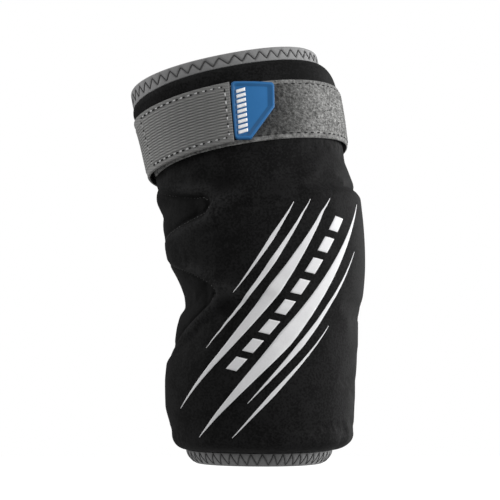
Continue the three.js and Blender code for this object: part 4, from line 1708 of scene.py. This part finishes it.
    def build_loop_patch(self, finishes: Finishes, trees: GeometryTrees) -> None:
        """Builds the loop tape with its flat selvages, its pile and its edge stitches.

        Args:
            finishes: the pad's materials.
            trees: the pad's Geometry Nodes trees.
        """
        columns, rows = 90, 420
        down = np.linspace(0, 1, columns)
        share = np.linspace(0, 1, rows)
        downs, shares = np.meshgrid(down, share)
        turns = mix(self.patch_start, self.patch_end, shares)
        selvage = np.minimum(downs, 1 - downs) * self.width
        pile = smooth((selvage - 2.4) / 1.0)
        random = np.random.default_rng(5)
        fuzz = random.normal(0, 0.12, downs.shape)
        fuzz = (fuzz + np.roll(fuzz, 1, 0) + np.roll(fuzz, 1, 1) + np.roll(fuzz, -1, 0)) / 2
        thick = self.rounded(downs, self.width, self.patch_thickness - 0.5, 0.8) + pile * (0.45 + fuzz)
        drop = self.patch_drop_at(turns)
        under = self.patch_height(turns, downs)
        outer = self.band_points(turns, downs, drop, self.width, under + thick)
        inner = self.band_points(turns, downs, drop, self.width, under)
        picks = np.r_[0:columns:8, columns - 1]
        ring = sheet_points(outer, inner[:, picks])
        along = np.linspace(0, (self.patch_end - self.patch_start) * 1.17, rows)
        widths = np.concatenate([down * self.width, 2 * self.width - down[picks][::-1] * self.width,
                                 [2 * self.width]])
        mesh = grid_mesh("loop_tape", ring, False, True, (along, widths))
        # Selvages get a plain tone; the pile gets painted shade beside the tab.
        tone = np.where(selvage < 2.6, 0.55, self.pile_shade(turns))
        float_attribute(mesh, "shade", sheet_points(tone[..., None], tone[:, picks][..., None]))
        cap_rings(mesh, ring.shape[1], rows)
        tape = add_piece("loop_tape", mesh, finishes.loop, Slot.LOOP, "loop_patch")
        fibres = self.build_pile(finishes, trees)
        lines = []
        t = np.linspace(self.patch_start + 1.5, self.patch_end - 1.5, 240)
        for down_at in (0.08, 0.92):
            downs_at = np.full_like(t, down_at)
            height = self.patch_height(t, downs_at) + self.patch_thickness - 0.1
            points = self.band_points(t, downs_at, self.patch_drop_at(t), self.width, height)
            outside = self.band_points(t, downs_at, self.patch_drop_at(t), self.width, height + 1)
            lines.append((points, outside))
        host = stitch_host("loop_tape_stitches", lines, self.tape_pitch)
        values = {"Length": 3.0 * MM, "Width": 1.0 * MM, "Height": 0.8 * MM, "Material": finishes.dark_thread}
        made = run_tree(host, trees.stitches, values)
        stitches = add_piece("loop_tape_stitches", made, finishes.dark_thread, Slot.THREAD)

    def build_pile(self, finishes: Finishes, trees: GeometryTrees) -> bpy.types.Object:
        """Scatters curled fibres over the loop tape where nothing covers it.

        Args:
            finishes: the pad's materials.
            trees: the pad's Geometry Nodes trees.

        Returns:
            The fibres.
        """
        down = np.linspace(0.1, 0.9, 14)
        share = np.linspace(0, 1, 90)
        downs, shares = np.meshgrid(down, share)
        turns = mix(float(self.tab_turn) - 4, self.patch_end - 1, shares)
        drop = self.patch_drop_at(turns)
        height = self.patch_height(turns, downs) + self.patch_thickness - 0.1
        points = self.band_points(turns, downs, drop, self.width, height)
        host = grid_mesh("loop_pile", points)
        # Painted shade on the fibres beside the tab, as on the tape.
        float_attribute(host, "shade", self.pile_shade(turns))
        values = {
            "Density": 1.4e6,
            "Fibre Length": 1.3 * MM,
            "Fibre Radius": 0.07 * MM,
            "Seed": 11,
            "Material": finishes.loop,
        }
        made = run_tree(host, trees.pile, values)
        return add_piece("loop_pile", made, finishes.loop, Slot.LOOP)

    def build_hook(self, finishes: Finishes) -> None:
        """Builds the dark hook tape under the strap."""
        columns, rows = 30, 120
        width = self.width - 2 * self.hook_margin
        down = np.linspace(0, 1, columns)
        downs, turns = np.meshgrid(down, np.linspace(self.hook_start, self.hook_end, rows))
        thick = self.rounded(downs, width, self.hook_thickness, 0.5)
        outer = self.band_points(turns, downs, self.strap_drop + self.hook_margin, width,
                                 self.hook_under + thick)
        inner = self.band_points(turns, downs, self.strap_drop + self.hook_margin, width,
                                 self.hook_under + 0 * thick)
        ring = sheet_points(outer, inner)
        mesh = grid_mesh("hook_tape", ring, False, True)
        cap_rings(mesh, ring.shape[1], rows)
        tape = add_piece("hook_tape", mesh, finishes.hook, Slot.HOOK, "hook_patch")


def cap_rings(mesh: bpy.types.Mesh, columns: int, rows: int) -> None:
    """Closes the two open ends of rings round a section with one face each, and turns all outwards.

    Args:
        mesh: the mesh whose first vertices are the rings, in order.
        columns: points in one ring.
        rows: number of rings.
    """
    work = bmesh.new()
    work.from_mesh(mesh)
    work.verts.ensure_lookup_table()
    for start in (0, (rows - 1) * columns):
        work.faces.new([work.verts[start + j] for j in range(columns)])
    bmesh.ops.recalc_face_normals(work, faces=work.faces)
    if work.calc_volume(signed=True) < 0:
        bmesh.ops.reverse_faces(work, faces=work.faces)
    work.to_mesh(mesh)
    work.free()


@dataclass
class PullTab:
    """The moulded tab with its bevelled rim, recessed field and raised ribs."""

    band: Band
    corner: float = 2.6
    tightest: float = 0.4
    crests: tuple[float, ...] = (1.5, 1.6, 1.6, 1.5, 1.2)
    rims: tuple[float, ...] = (3.3, 5.0, 4.1, 2.8, 2.2)
    # Painted shade on the bevel's slope and on the tab's sides.
    slope_shade_tone: float = 0.7
    side_shade_tone: float = 0.8
    recess: float = 0.8
    bevel: float = 0.9
    corner_steps: int = 8
    edge_steps: int = 14
    rib_count: int = 9
    rib_left: float = 2.7
    rib_width: float = 5.6
    rib_top: float = 4.4
    rib_bottom: float = 3.4
    rib_slant: float = 1.6
    rib_height: float = 0.9
    rib_fill: float = 0.66

    @property
    def under(self) -> float:
        """Height of the tab's back over the cover."""
        return self.band.patch_top + self.band.gap

    @property
    def top(self) -> float:
        """Height of the tab's rim over the cover."""
        return self.under + self.band.tab_thickness

    def spot(self, p: np.ndarray, q: np.ndarray, out: np.ndarray | float) -> np.ndarray:
        """Lays places of the tab's own frame on the band.

        Args:
            p: mm to the right from the tab's upper left corner.
            q: mm down from it.
            out: height over the cover.

        Returns:
            Points in millimetres.
        """
        band = self.band
        tilt = math.radians(band.tab_tilt)
        around = p * math.cos(tilt) - q * math.sin(tilt)
        drop = p * math.sin(tilt) + q * math.cos(tilt)
        turn = band.tab_turn + band.turn_for(around)
        return band.form.smooth_face(turn, band.form.arm.length - band.tab_drop - drop, out)

    def outline(self, margins: np.ndarray) -> np.ndarray:
        """The tab's outline set in by a margin on each edge, with rounded corners."""
        band = self.band
        corners = np.array(
            [
                (0, 0),
                (band.tab_width, 0),
                (band.tab_width, band.tab_right_edge),
                (band.tab_foot_right, band.tab_height),
                (band.tab_foot_left, band.tab_height),
            ],
            float,
        )
        count = len(corners)
        ways = unit(np.roll(corners, -1, axis=0) - corners)
        normals = np.stack([-ways[:, 1], ways[:, 0]], axis=1)
        inner = []
        for i in range(count):
            sides = np.stack([normals[i - 1], normals[i]])
            inner.append(corners[i] + np.linalg.solve(sides, [margins[i - 1], margins[i]]))
        outline = []
        for i in range(count):
            before, after = ways[i - 1], ways[i]
            bend = math.acos(np.clip(before @ after, -1, 1))
            inset = min(margins[i - 1], margins[i])
            reach = max(self.tightest, self.corner - inset / 2) * math.tan(bend / 2)
            start = inner[i] - before * reach
            end = inner[i] + after * reach
            t = np.linspace(0, 1, self.corner_steps)[:, None]
            outline.append((1 - t) ** 2 * start + 2 * t * (1 - t) * inner[i] + t**2 * end)
            following = inner[(i + 1) % count]
            steps = np.linspace(0, 1, self.edge_steps + 2)[1:-1, None] * 0.9
            outline.append(end + (following - end) * steps)
        return np.concatenate(outline)

    def build(self, finishes: Finishes) -> None:
        """Builds the tab and its ribs.

        Args:
            finishes: the pad's materials.
        """
        band = self.band
        centre = np.array([band.tab_width * 0.45, band.tab_height * 0.42])
        field_height = self.top - self.recess
        bends = np.linspace(0, math.pi / 2, 6)
        even = np.ones(5)
        crests = np.array(self.crests)
        rims = np.array(self.rims)
        steps = [(even * 0, share, self.under) for share in (0.02, 0.4, 0.8)]
        steps += [(even * 0.4, 1.0, self.under), (even * 0, 1.0, self.under + 0.4)]
        steps += [
            (even * self.bevel * (1 - math.cos(a)), 1.0, self.top - self.bevel * (1 - math.sin(a)))
            for a in bends
        ]
        # Painted shade on the tab's sides here and on the bevel's slope below.
        tones = [self.side_shade_tone] * (len(steps) - 1)
        steps += [(crests, 1.0, self.top), (crests + 0.3, 1.0, self.top - 0.1)]
        steps += [(rims - 0.15, 1.0, field_height + 0.06), (rims + 0.15, 1.0, field_height)]
        tones += [1.0, 1.0, self.slope_shade_tone, self.slope_shade_tone]
        steps += [(rims + 0.2, share, field_height) for share in (0.85, 0.7, 0.5, 0.3, 0.15, 0.02)]
        rings = []
        for margins, shrink, out in steps:
            line = centre + (self.outline(margins) - centre) * shrink
            rings.append(self.spot(line[:, 0], line[:, 1], out))
        points = np.array(rings)
        tones += [1.0] * (len(rings) - len(tones))
        mesh = grid_mesh("tab", points, False, True)
        float_attribute(mesh, "shade", np.repeat(tones, points.shape[1]))
        cap_rings(mesh, points.shape[1], points.shape[0])
        add_piece("tab", mesh, finishes.tab, Slot.TAB, "pull_tab")
        self.build_ribs(finishes)

    def build_ribs(self, finishes: Finishes) -> None:
        """Builds the slanted raised ribs on the tab's field.

        Args:
            finishes: the pad's materials.
        """
        band = self.band
        pitch = (band.tab_height - self.rib_top - self.rib_bottom) / self.rib_count
        side, way = np.meshgrid(np.linspace(0, 1, 17), np.linspace(0, 1, 13))
        rounding = np.minimum(np.minimum(side, 1 - side) * self.rib_width, np.minimum(way, 1 - way) * pitch)
        height = self.rib_height * smooth(rounding / 0.5 + 0.1)
        base = self.top - self.recess + band.gap
        ribs = []
        for number in range(self.rib_count):
            down = self.rib_top + pitch * (number + 0.5 + (way - 0.5) * self.rib_fill)
            slanted = down - self.rib_slant * (side - 0.5)
            p = self.rib_left + band.tab_foot_left * down / band.tab_height + self.rib_width * side
            ring = sheet_points(self.spot(p, slanted, base + height), self.spot(p, slanted, base - 0.3))
            mesh = grid_mesh("rib", ring, False, True)
            cap_rings(mesh, ring.shape[1], ring.shape[0])
            ribs.append(mesh)
        add_piece("tab_grip", join_meshes("tab_grip", ribs), finishes.rib, Slot.RIB, "tab_ribs")


@dataclass(frozen=True)
class Streak:
    """One bar of the print on the flat cloth, in mm along and across the print's slant."""

    across: float
    start: float
    length: float
    width: float
    peak: float = 0.3


@dataclass
class Print:
    """The silver print: slanted tapered bars and a row of dashes over the front."""

    form: PadForm
    centre: float = 20.0
    centre_share: float = 0.40
    slant: float = 47.0
    reach: float = 120.0
    height: float = 0.14
    sink: float = 0.35
    dash_across: float = -1.0
    dash_length: float = 10.0
    dash_width: float = 6.0
    dash_pitch: float = 15.0
    dash_count: int = 8
    dash_lean: float = 3.4
    table: np.ndarray = field(init=False, repr=False)

    streaks = (
        Streak(across=-31, start=-24, length=66, width=2.4, peak=0.6),
        Streak(across=-23, start=-62, length=112, width=3.2, peak=0.6),
        Streak(across=-12.5, start=-104, length=163, width=7.4, peak=0.6),
        Streak(across=11, start=-106, length=184, width=9.4, peak=0.45),
        Streak(across=20.5, start=-68, length=118, width=3.2, peak=0.4),
        Streak(across=28, start=-90, length=92, width=2.4, peak=0.4),
    )

    def __post_init__(self) -> None:
        """Measures the cloth round the arm once."""
        self.table = self.turn_table()

    def turn_table(self) -> np.ndarray:
        """Turns by place along the arm, in rows, and by length round it from the front, in columns."""
        shares = np.linspace(0, 1, 60)
        turns = np.linspace(-self.reach, self.reach, 241)
        points = self.form.smooth_face(turns[None, :], shares[:, None] * self.form.arm.length)
        steps = np.linalg.norm(np.diff(points, axis=1), axis=2)
        run = np.hstack([np.zeros((len(shares), 1)), np.cumsum(steps, axis=1)])
        run -= run[:, [120]]
        lengths = np.linspace(-self.reach, self.reach, 241)
        return np.array([np.interp(lengths, row, turns) for row in run])

    def lay(self, along: np.ndarray, across: np.ndarray, out: float) -> np.ndarray:
        """Lays places of the slanted flat print on the cover's face, by lengths on the cloth."""
        c, sn = math.cos(math.radians(self.slant)), math.sin(math.radians(self.slant))
        x = self.centre + along * c + across * sn
        share = self.centre_share + (along * sn - across * c) / self.form.arm.length
        table = self.table
        row = np.clip(share, 0, 1) * (len(table) - 1)
        low = np.minimum(row.astype(int), len(table) - 2)
        column = (x + self.reach) / (2 * self.reach) * (table.shape[1] - 1)
        left = np.clip(column.astype(int), 0, table.shape[1] - 2)
        first = mix(table[low, left], table[low, left + 1], column - left)
        second = mix(table[low + 1, left], table[low + 1, left + 1], column - left)
        return self.form.face(mix(first, second, row - low), share * self.form.arm.length, out)

    def strip(self, along: np.ndarray, across: np.ndarray) -> bpy.types.Mesh:
        """A thin raised strip.

        Args:
            along: places along the slant, rows along the strip and columns across it.
            across: places across the slant.

        Returns:
            A closed mesh.
        """
        upper = self.lay(along, across, self.height)
        ring = sheet_points(upper, self.lay(along, across, -self.sink))
        mesh = grid_mesh("strip", ring, False, True)
        cap_rings(mesh, ring.shape[1], ring.shape[0])
        return mesh

    def build(self, finishes: Finishes) -> None:
        """Builds every bar and dash as one piece.

        Args:
            finishes: the pad's materials.
        """
        meshes = []
        for streak in self.streaks:
            t, side = np.meshgrid(np.linspace(0, 1, 110), np.linspace(-0.5, 0.5, 7), indexing="ij")
            taper = np.minimum(t / streak.peak, (1 - t) / (1 - streak.peak))
            across = streak.across + side * (streak.width * taper + 0.25)
            meshes.append(self.strip(streak.start + streak.length * t, across))
        for number in range(self.dash_count):
            t, side = np.meshgrid(np.linspace(0, 1, 10), np.linspace(-0.5, 0.5, 7), indexing="ij")
            start = (number - self.dash_count / 2) * self.dash_pitch
            along = start + t * self.dash_length + side * self.dash_lean
            meshes.append(self.strip(along, self.dash_across + side * self.dash_width))
        add_piece("print", join_meshes("print", meshes), finishes.print, Slot.PRINT)


def join_meshes(name: str, meshes: list[bpy.types.Mesh]) -> bpy.types.Mesh:
    """Joins several meshes into one.

    Args:
        name: the new mesh's name.
        meshes: the parts, which are removed.

    Returns:
        The joined mesh.
    """
    work = bmesh.new()
    for part in meshes:
        work.from_mesh(part)
        bpy.data.meshes.remove(part)
    made = bpy.data.meshes.new(name)
    work.to_mesh(made)
    work.free()
    return made


@dataclass
class DartSeams:
    """Stitches along the two darts."""

    form: PadForm
    pitch: float = 3.0

    def build(self, finishes: Finishes, trees: GeometryTrees) -> None:
        """Sews both darts.

        Args:
            finishes: the pad's materials.
            trees: the pad's Geometry Nodes trees.
        """
        lines = []
        for dart in self.form.darts:
            turns, shares = dart.seam()
            s = shares * self.form.arm.length
            lines.append((self.form.face(turns, s, 0.1), self.form.face(turns, s, 1.1)))
        for name, length, shift, finish in (
            ("dart_stitches", 2.0, 0.0, finishes.dark_thread),
            ("dart_knots", 0.9, 0.5, finishes.seam_thread),
        ):
            host = stitch_host(name, moved_on(lines, shift * self.pitch), self.pitch)
            values = {"Length": length * MM, "Width": 0.9 * MM, "Height": 0.6 * MM, "Material": finish}
            add_piece(name, run_tree(host, trees.stitches, values), finish, Slot.THREAD)


@dataclass
class Studio:
    """Camera at the photo's angle, soft lights and a plain pale floor."""

    camera_place: tuple[float, float, float] = (-7.6, -900.0, -50.0)
    camera_target: tuple[float, float, float] = (-7.6, 0.0, 17.8)
    mm_per_pixel: float = 0.66
    image_pixels: int = 500
    sensor: float = 36.0
    floor_drop: float = 420.0
    surround: float = 0.2

    def build(self) -> None:
        """Makes the camera, the lights, the world and the floor."""
        self.make_camera()
        self.make_light("key", (1.15, -0.4, 0.35), 0.7, 17.0)
        self.make_light("fill", (-0.8, -0.9, 0.8), 1.0, 6.0)
        self.make_light("top", (-0.1, -0.2, 1.3), 0.9, 3.0)
        self.make_light("right_edge", (0.9, 0.55, 0.1), 0.7, 8.0)
        self.make_light("left_edge", (-1.1, 0.1, 0.3), 0.8, 5.0)
        self.make_world()
        self.make_floor()

    def make_camera(self) -> None:
        """Places the camera and gives it the photo's field of view."""
        place = Vector(self.camera_place)
        target = Vector(self.camera_target)
        data = bpy.data.cameras.new("camera")
        data.sensor_width = self.sensor
        distance = (target - place).length
        data.lens = distance / self.mm_per_pixel / self.image_pixels * self.sensor
        data.clip_start = 0.05
        camera = bpy.data.objects.new("camera", data)
        camera.location = place * MM
        camera.rotation_euler = (target - place).to_track_quat("-Z", "Y").to_euler()
        bpy.context.scene.collection.objects.link(camera)
        bpy.context.scene.camera = camera

    def make_light(self, name: str, place: tuple[float, float, float], size: float, power: float) -> None:
        """Adds a square soft light that faces the elbow.

        Args:
            name: the light's name.
            place: its place in metres.
            size: its side in metres.
            power: its power in watts.
        """
        data = bpy.data.lights.new(name, "AREA")
        data.size = size
        data.energy = power
        light = bpy.data.objects.new(name, data)
        light.location = place
        light.rotation_euler = (-Vector(place)).to_track_quat("-Z", "Y").to_euler()
        bpy.context.scene.collection.objects.link(light)

    def make_world(self) -> None:
        """White surroundings: bright behind the pad, softer as light on it."""
        scene = bpy.context.scene
        world = bpy.data.worlds.new("studio")
        scene.world = world
        world.use_nodes = True
        nodes = Nodes(world.node_tree)
        background = world.node_tree.nodes["Background"]
        background.inputs["Color"].default_value = (1, 1, 1, 1)
        path = nodes.add("ShaderNodeLightPath")
        seen = nodes.math("MULTIPLY", path.outputs["Is Camera Ray"], 1 - self.surround)
        nodes.link(nodes.math("ADD", seen, self.surround), background.inputs["Strength"])
        scene.view_settings.view_transform = "Standard"

    def make_floor(self) -> None:
        """A plain pale floor, well below the held pad."""
        half = 4.0
        z = -self.floor_drop * MM
        mesh = bpy.data.meshes.new("floor")
        corners = [(-half, -half, z), (half, -half, z), (half, half, z), (-half, half, z)]
        mesh.from_pydata(corners, [], [(0, 1, 2, 3)])
        floor = bpy.data.objects.new("floor", mesh)
        bpy.context.scene.collection.objects.link(floor)
        material = bpy.data.materials.new("floor_white")
        material.use_nodes = True
        shader = material.node_tree.nodes["Principled BSDF"]
        shader.inputs["Base Color"].default_value = (0.55, 0.55, 0.55, 1)
        shader.inputs["Roughness"].default_value = 0.9
        shader.inputs["Emission Color"].default_value = (1, 1, 1, 1)
        nodes = Nodes(material.node_tree)
        path = nodes.add("ShaderNodeLightPath")
        nodes.link(path.outputs["Is Camera Ray"], shader.inputs["Emission Strength"])
        mesh.materials.append(material)


def main() -> None:
    """Builds the pad piece by piece."""
    logging.basicConfig(level=logging.INFO, format="%(name)s %(message)s")
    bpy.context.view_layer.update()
    studio = Studio()
    studio.build()
    finishes = Finishes()
    trees = GeometryTrees()
    form = PadForm()
    ClothPuff(form).run()
    Cover(form).build(finishes)
    Lining(form).build(finishes, trees)
    band = Band(form)
    band.build_loop_patch(finishes, trees)
    band.build_hook(finishes)
    band.build_strap(finishes, trees)
    PullTab(band).build(finishes)
    DartSeams(form).build(finishes, trees)
    Print(form).build(finishes)


if __name__ == "__main__":
    main()
